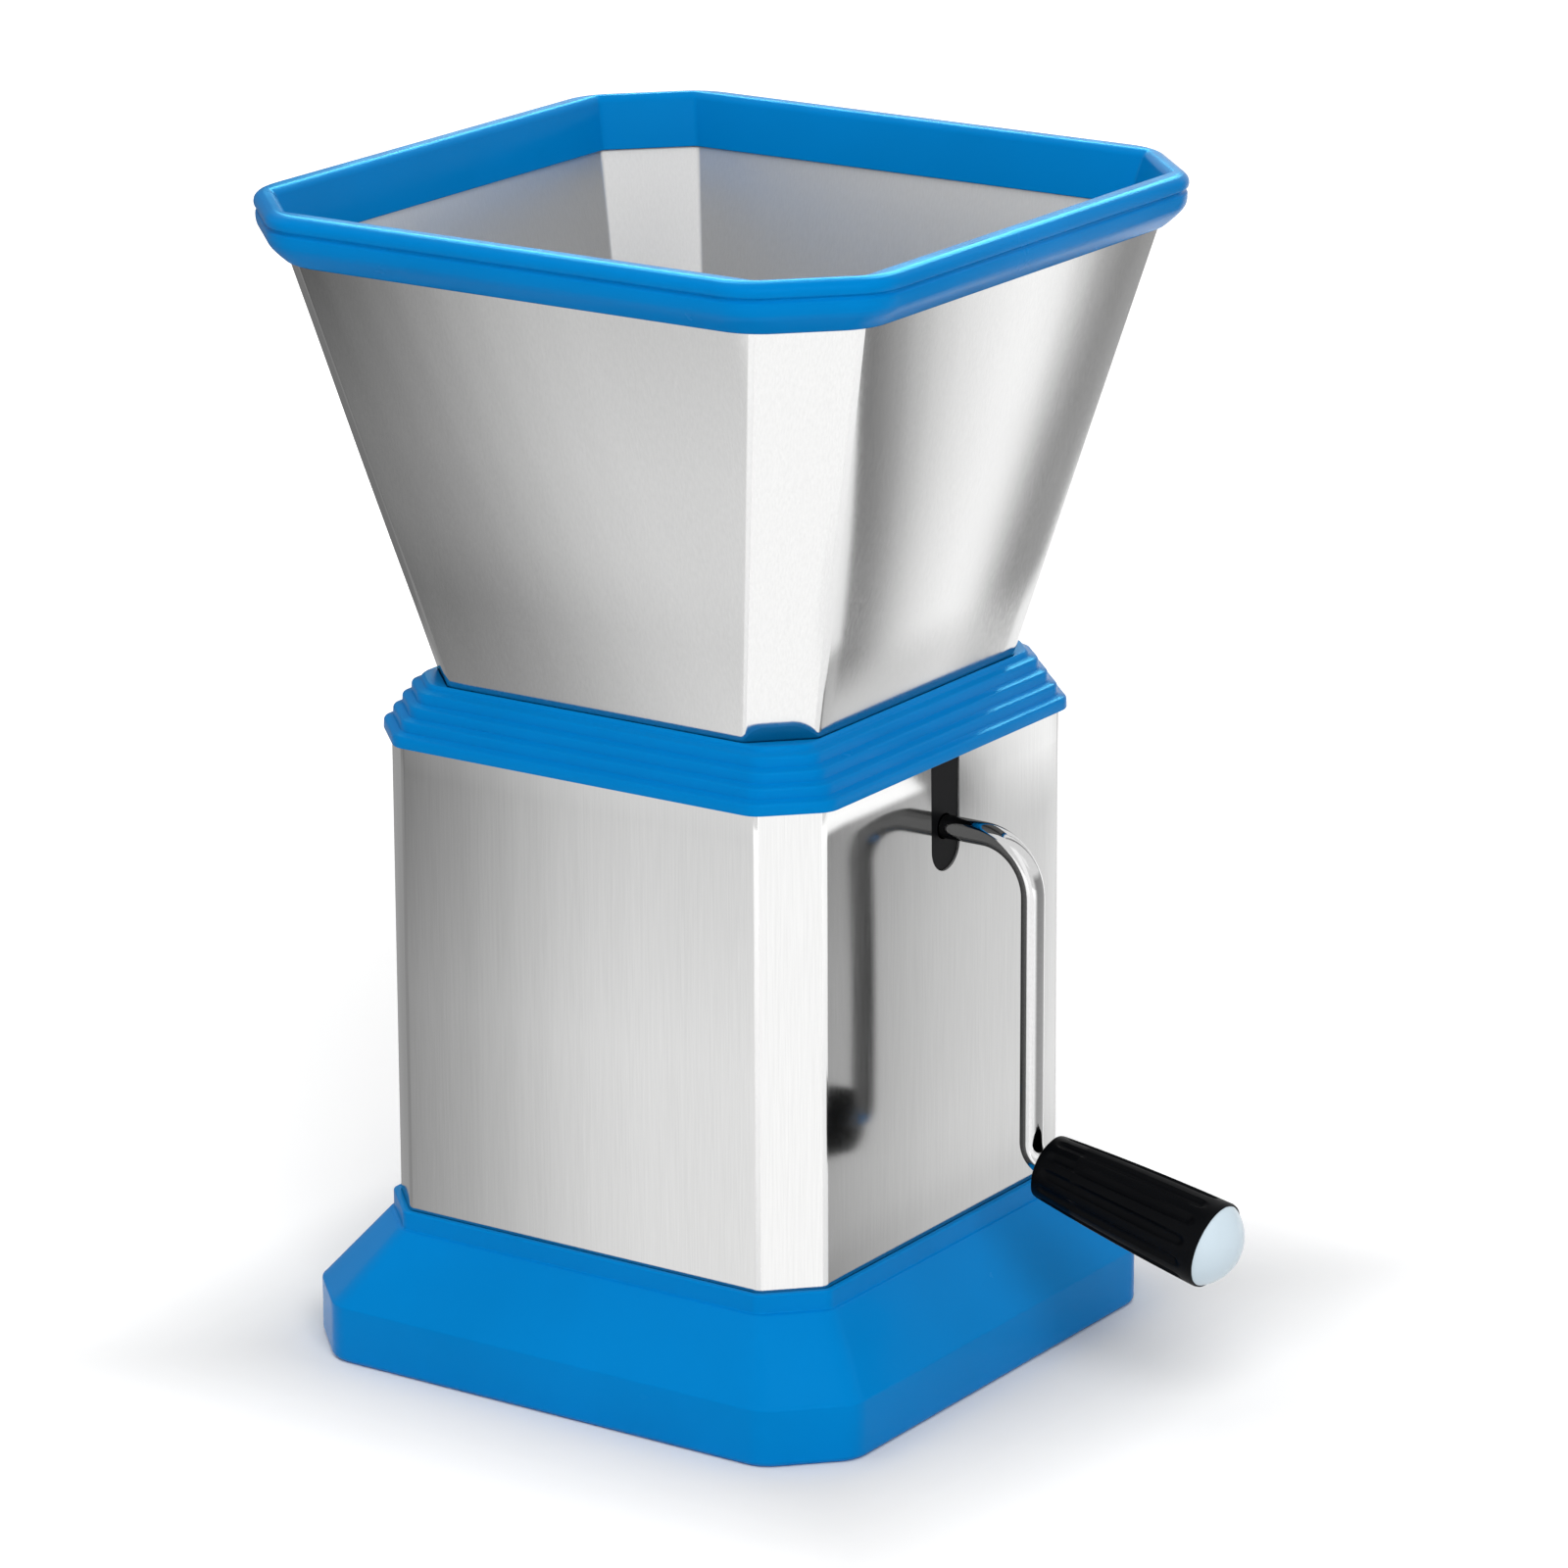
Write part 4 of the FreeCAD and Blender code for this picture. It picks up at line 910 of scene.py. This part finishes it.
def plateWithHole(tree, i, outline):
    # fills the outline round a hole with two flats, pushes it to its thickness and stands it on the shaft
    circle = wire(tree, "GeometryNodeCurvePrimitiveCircle", {"Resolution": wheels.boreSides, "Radius": i.bore})
    x, y, _ = split(wire(tree, "GeometryNodeInputPosition"))
    level = calc("MAXIMUM", calc("MINIMUM", y, i.flatHalf), i.flatHalf * -1.0)
    hole = wire(tree, "GeometryNodeSetPosition", {"Geometry": circle, "Position": xyz(x, level)})
    plate = wire(tree, "GeometryNodeFillCurve", {"Curve": wire(tree, "GeometryNodeJoinGeometry", {0: [outline, hole]})})
    raised = wire(tree, "GeometryNodeExtrudeMesh", {"Mesh": plate, "Offset Scale": i.thickness, "Individual": False},
                  mode="FACES")
    shell = wire(tree, "GeometryNodeJoinGeometry", {0: [raised, wire(tree, "GeometryNodeFlipFaces", {"Mesh": plate})]})
    closed = wire(tree, "GeometryNodeMergeByDistance", {"Geometry": shell, "Distance": 1e-6})
    return wire(tree, "GeometryNodeTransform", {
        "Geometry": closed, "Translation": xyz(i.middle - i.thickness * 0.5, 0.0, i.axisZ),
        "Rotation": (pi / 2, 0, pi / 2)})


def wheelTree(sizes, material):
    # one hook is two arcs, a cutting edge and a curved back; it is turned round the bore once for each tooth
    tree, i = treeWith("hookedWheel", sizes)
    pitch = 2 * pi / i.teeth
    tip = polar(i.tip, i.lead)
    hook = [wire(tree, "GeometryNodeCurveArc", {"Resolution": steps, "Start": start, "Middle": middle, "End": end},
                 mode="POINTS")
            for steps, start, middle, end in (
                (wheels.edgeSteps, xyz(i.root), polar(i.root + i.hollow, i.undercut * -1.0), tip),
                (wheels.backSteps, tip, polar(i.tip - i.backDrop, i.backMiddle), polar(i.root, pitch)))]
    angle = calc("MULTIPLY_ADD", wire(tree, "GeometryNodeInputIndex"), pitch, i.phase)
    around = wire(tree, "GeometryNodeInstanceOnPoints", {
        "Points": wire(tree, "GeometryNodePoints", {"Count": i.teeth}), "Rotation": xyz(0.0, 0.0, angle),
        "Instance": wire(tree, "GeometryNodeJoinGeometry", {0: hook})})
    real = wire(tree, "GeometryNodeRealizeInstances", {"Geometry": around})
    wires = wire(tree, "GeometryNodeCurveToMesh", {"Curve": real})
    joined = wire(tree, "GeometryNodeMergeByDistance", {"Geometry": wires, "Distance": 1e-5})
    outline = wire(tree, "GeometryNodeMeshToCurve", {"Mesh": joined})
    return endTree(tree, plateWithHole(tree, i, outline), material)


def spacerTree(sizes, material):
    tree, i = treeWith("flatBoredSpacer", sizes)
    circle = wire(tree, "GeometryNodeCurvePrimitiveCircle", {"Resolution": wheels.outerSides, "Radius": i.outer})
    return endTree(tree, plateWithHole(tree, i, circle), material)


def onShaft(name, tree, sizes, material):
    piece = runTree(linkObject(name, bpy.data.meshes.new(name)), tree, sizes)
    brokenEdges(piece.data, wheels.burr)
    finishPiece(piece, material, "rotor", 25)


def wheelPieces():
    w = wheels
    shaft = {"middle": 0.0, **w.metres("axisZ", "bore", "flatHalf")}
    sizes = {**shaft, "teeth": w.teeth, "phase": 0.0, **w.metres("thickness", "root", "hollow", "tip", "backDrop"),
             **{key: radians(w[key]) for key in ("lead", "undercut", "backMiddle")}}
    gaps = {**shaft, **w.metres("outer"), "thickness": (w.pitch - w.thickness) * mm}
    hooked, bored = wheelTree(sizes, cutterSteel), spacerTree(gaps, spacerSteel)
    for i in range(w.count):
        x = w.pitch * ((w.count - 1) / 2 - i)
        sizes.update(middle=x * mm, phase=radians(i * w.phaseStep))
        onShaft(f"cutterWheel{i + 1}", hooked, sizes, cutterSteel)
        if i < w.count - 1:
            gaps.update(middle=(x - w.pitch / 2) * mm)
            onShaft(f"wheelSpacer{i + 1}", bored, gaps, spacerSteel)


wheelPieces()
print("cutter wheels made")


# the pieces that keep the frame's shape, merged and smoothed

def merged(name, material, body):
    mesh = nodes[cadName(name)].data.copy()
    with editing(mesh) as work:
        bmesh.ops.remove_doubles(work, verts=work.verts, dist=2e-6)
    mesh.materials.clear()
    finishPiece(linkObject(name, mesh), material, body, 30)


for name, material, body in (
        ("cutterFrame", frameSteel, "hopper_unit"), ("nearBush", bushBrass, "hopper_unit"),
        ("farBush", bushBrass, "hopper_unit"), ("slotGuide", blackPlastic, "hopper_unit"),
        ("rodEndClip", fastenerSteel, "rotor"), ("spindleClip", fastenerSteel, "rotor"),
        ("spindleWasher", fastenerSteel, "rotor"), ("shaftCollar", spacerSteel, "rotor"),
        ("collarScrew", fastenerSteel, "rotor"), ("clampWasher", fastenerSteel, "rotor"),
        ("clampNut", fastenerSteel, "rotor")):
    merged(name, material, body)
print("small pieces made")


# floor, sky, lamps and cards

# the floor's glow grows from nothing beside the base, so a band of floor round the base is painted darker: painted
# shade
studio = Settings(floorTone=0.86, floorLifts=((0.072, 0.115, 0.3), (0.1, 0.6, 0.45)), floorHalf=4000, floorThick=10,
                  skyCamera=1.0, skyLight=0.48, secondReflection=0.15, keyPower=26, topPower=10, backPower=42,
                  backColour=(0.2, 0.85, 1.0))
white = (1, 1, 1, 1)


def blankTree(owner):
    # the emptied node tree of a material or a world
    owner.use_nodes = True
    owner.node_tree.nodes.clear()
    return owner.node_tree


def studioRays(tree):
    # whether a ray shows the bright studio, and how much of it: a reflection in a reflection sees less
    camera, glossy, through, depth = wire(tree, "ShaderNodeLightPath", out=(
        "Is Camera Ray", "Is Glossy Ray", "Is Transmission Ray", "Glossy Depth"))
    seen = calc("MAXIMUM", calc("MAXIMUM", camera, glossy), through)
    return seen, mapped(depth, 1.0, studio.secondReflection, 1.0, 2.0)


def whiteFloor():
    s, half = studio, studio.floorHalf
    floor = linkObject("floor", boxMesh("floor", (-half, -half, -s.floorThick), (half, half, 0)))
    material = bpy.data.materials.new("paperFloor")
    tree = blankTree(material)
    place = wire(tree, "ShaderNodeTexCoord", out="Object")
    seen, share = studioRays(tree)
    shown = between(noise(place, (60, 60, 60), 3.0, 0.55), s.floorTone * 0.99, s.floorTone) * share
    paper = wire(tree, "ShaderNodeBsdfDiffuse", {"Color": wireOf("ShaderNodeCombineColor", [shown] * 3)})
    x, y, _ = split(vectorCalc("ABSOLUTE", place))
    away = calc("SMOOTH_MAX", x, y, 0.02)
    # glow that is zero next to the base and rises with distance: painted shade on the floor round the base, deepening
    # its shadow
    lifted = sum(mapped(away, 0.0, lift, start, end) for start, end, lift in s.floorLifts)
    glowAndPaintedShade = wire(tree, "ShaderNodeEmission", {"Color": white, "Strength": lifted * share})
    dark = wire(tree, "ShaderNodeEmission", {"Color": (0, 0, 0, 1), "Strength": 0.0})
    both = wireOf("ShaderNodeAddShader", [paper, wireOf("ShaderNodeMixShader", [seen, dark, glowAndPaintedShade])])
    wire(tree, "ShaderNodeOutputMaterial", {"Surface": both}, out=())
    floor.data.materials.append(material)


def paleSky():
    world = bpy.data.worlds.new("studio")
    bpy.context.scene.world = world
    tree = blankTree(world)
    seen, share = studioRays(tree)
    sky = wire(tree, "ShaderNodeBackground", {
        "Color": white, "Strength": mapped(seen, studio.skyLight, studio.skyCamera, 0.0, 1.0) * share})
    wire(tree, "ShaderNodeOutputWorld", {"Surface": sky}, out=())


def softLamp(name, place, aimHeight, size, power):
    data = bpy.data.lights.new(name, "AREA")
    data.shape = "RECTANGLE"
    data.size = data.size_y = size
    data.energy = power
    lamp = linkObject(name, data)
    lamp.location = place
    lamp.rotation_euler = (Vector((0, 0, aimHeight)) - Vector(place)).to_track_quat("-Z", "Y").to_euler()
    lamp.visible_glossy = False
    return lamp


def rampOf(value, stops, easing):
    # colour ramp from (position, red, green) stops; gives its two channels
    node = value.tree.nodes.new("ShaderNodeValToRGB")
    fill(node, {"Fac": value})
    ramp = node.color_ramp
    ramp.interpolation = easing
    while len(ramp.elements) < len(stops):
        ramp.elements.new(0.5)
    for element, (position, red, green) in zip(ramp.elements, stops):
        element.position = position
        element.color = (red, green, 0, 1)
    return wireOf("ShaderNodeSeparateColor", [Term(value.tree, node.outputs[0])], out=(0, 1))


def studioCard(name, start, end, low, high, stops, softLow=0.0, softHigh=0.0, slant=(0, 0, 0), fall=()):
    # an upright card beside the object, seen only in reflections; each stop holds how far along it stands, how bright
    # and, where the card isn't solid, how solid; slant holds a height and how fast the two ends move along above it;
    # fall holds heights and how much darker the card is there
    run = Vector(end) - Vector(start)
    unit = run.normalized()
    base, first, last = slant
    corners = ((start, first, low), (end, last, low), (end, last, high), (start, first, high))
    points = [(*(Vector(spot) + unit * speed * (z - base)), z) for spot, speed, z in corners]
    card = linkObject(name, meshFrom(name, points, [(0, 1, 2, 3)], unit=1))
    material = bpy.data.materials.new(name)
    tree = blankTree(material)
    place = wire(tree, "ShaderNodeTexCoord", out="Object")
    along = vectorCalc("DOT_PRODUCT", vectorCalc("SUBTRACT", place, (*start, 0)), (*unit, 0), out="Value")
    z = split(place)[2]
    lifted = z - base
    share = (along - lifted * first) / calc("MULTIPLY_ADD", lifted, last - first, run.length)
    solid, bright = rampOf(share, [(at, *(cover or [1.0]), tone / 2) for at, tone, *cover in stops], "EASE")
    bright = bright * 2.0
    if fall:
        top = fall[-1][0]
        darker = rampOf(z / top, [(at / top, less, 0) for at, less in fall], "LINEAR")[0]
        bright = calc("MAXIMUM", bright - darker, 0.0)
    if softLow:
        solid = solid * mapped(z, 0.0, 1.0, low, low + softLow)
    if softHigh:
        solid = solid * mapped(z, 1.0, 0.0, high - softHigh, high)
    shown = wire(tree, "ShaderNodeEmission", {"Color": white, "Strength": bright * studioRays(tree)[1]})
    mixed = wireOf("ShaderNodeMixShader", [solid, wire(tree, "ShaderNodeBsdfTransparent"), shown])
    wire(tree, "ShaderNodeOutputMaterial", {"Surface": mixed}, out=())
    card.data.materials.append(material)
    card.visible_camera = card.visible_diffuse = card.visible_shadow = card.visible_transmission = False


whiteFloor()
paleSky()
softLamp("keyLamp", (1.2, -1.3, 1.6), 0.1, 1.2, studio.keyPower)
softLamp("topLamp", (-0.5, -0.3, 2.2), 0.1, 1.6, studio.topPower)
backLamp = softLamp("backLamp", (-0.42, 0.68, 1.0), 0.12, 0.9, studio.backPower)
backLamp.data.color = studio.backColour
backLamp.visible_glossy, backLamp.visible_diffuse = True, False
moulded = bpy.data.collections.new("moulded")
for piece in (plinthBase, topRim, shoulderRing):
    moulded.objects.link(piece)
backLamp.light_linking.receiver_collection = moulded
studioCard("leftCard", (-0.16, -0.10), (0.04, -0.10), 0.0, 0.30,
           [(0.0, 0.30), (0.25, 0.34), (0.375, 0.40), (0.425, 0.46), (0.475, 0.54), (0.525, 0.65), (0.575, 0.77),
            (0.625, 0.88), (0.675, 0.96), (0.74, 1.02), (0.925, 1.06), (1.0, 1.0, 0.0)], softHigh=0.05,
           fall=[(0.0, 0.0), (0.061, 0.0), (0.092, 0.09), (0.116, 0.15), (0.14, 0.11), (0.167, 0.13), (0.193, 0.2),
                 (0.21, 0.25), (0.33, 0.25)])
studioCard("edgeCard", (-0.110, -0.099), (-0.110, 0.141), 0.0, 0.135,
           [(0.0, 0.32), (0.47, 0.36), (0.62, 0.5, 0.8), (0.8, 0.7, 0.35), (1.0, 0.8, 0.0)], softHigh=0.02)
studioCard("brimCard", (-0.130, -0.099), (-0.130, 0.151), 0.085, 0.32,
           [(0.0, 0.3), (0.34, 0.2), (0.65, 0.16), (0.72, 0.3, 0.8), (0.86, 0.6, 0.35), (1.0, 0.8, 0.0)],
           0.02, 0.04, slant=(0.107, 0.0, -0.42))
studioCard("frontCard", (0.086, -0.1176), (0.124, -0.0624), 0.0, 0.22,
           [(0.0, 1.33, 0.0), (0.1, 1.33), (0.9, 1.33), (1.0, 1.33, 0.0)], softHigh=0.02)
studioCard("bodyCard", (0.0905, -0.012), (0.0905, 0.143), 0.0, 0.119,
           [(0.0, 0.5, 0.0), (0.06, 0.5), (0.14, 0.54), (0.21, 0.6), (0.27, 0.66), (0.34, 0.73), (0.4, 0.8),
            (0.48, 0.85), (0.56, 0.9), (0.7, 0.95), (0.8, 1.1), (0.9, 0.8), (0.97, 0.6), (1.0, 0.6, 0.0)],
           softHigh=0.004, fall=[(0.0, 0.16), (0.012, 0.12), (0.02, 0.03), (0.03, 0.0), (0.05, 0.03), (0.08, 0.06),
                                 (0.095, 0.11), (0.12, 0.18)])
studioCard("hopperCard", (0.09, 0.0463), (0.09, 0.155), 0.094, 0.33,
           [(0.0, 0.30), (0.05, 0.26), (0.085, 0.30), (0.131, 0.43), (0.19, 0.67), (0.25, 0.89), (0.316, 1.06),
            (0.375, 1.16), (0.434, 1.25), (0.493, 1.29), (0.559, 1.21), (0.618, 0.86), (0.677, 0.50), (0.743, 0.33),
            (0.80, 0.40), (1.0, 0.50)], 0.014, 0.07, slant=(0.110, -0.637, -0.25))
studioCard("cornerCard", (0.33, -0.36), (0.50, -0.18), 0.30, 0.55,
           [(0.0, 1.2, 0.0), (0.15, 1.2), (0.85, 1.2), (1.0, 1.2, 0.0)], 0.04, 0.04)
print("studio made")


# camera

view = Settings(aim=(0, 0, 0.125), azimuth=34.6107, elevation=16.6702, roll=-0.3796, distance=1.504365, lens=162.82,
                sensor=36, shift=(0.03635, -0.01351), near=0.05, far=20)


def placeCamera():
    v = view
    a, e, roll = (radians(angle) for angle in (v.azimuth, v.elevation, v.roll))
    right = Vector((cos(a), sin(a), 0))
    back = Vector((sin(a) * cos(e), -cos(a) * cos(e), sin(e)))
    up = back.cross(right)
    data = bpy.data.cameras.new("camera")
    data.lens, data.sensor_width = v.lens, v.sensor
    data.shift_x, data.shift_y = v.shift
    data.clip_start, data.clip_end = v.near, v.far
    camera = linkObject("camera", data)
    pose = Matrix((right * cos(roll) + up * sin(roll), up * cos(roll) - right * sin(roll), back)).transposed().to_4x4()
    pose.translation = Vector(v.aim) + back * v.distance
    camera.matrix_world = pose
    bpy.context.scene.camera = camera


placeCamera()
bpy.context.scene.view_settings.view_transform = "Standard"
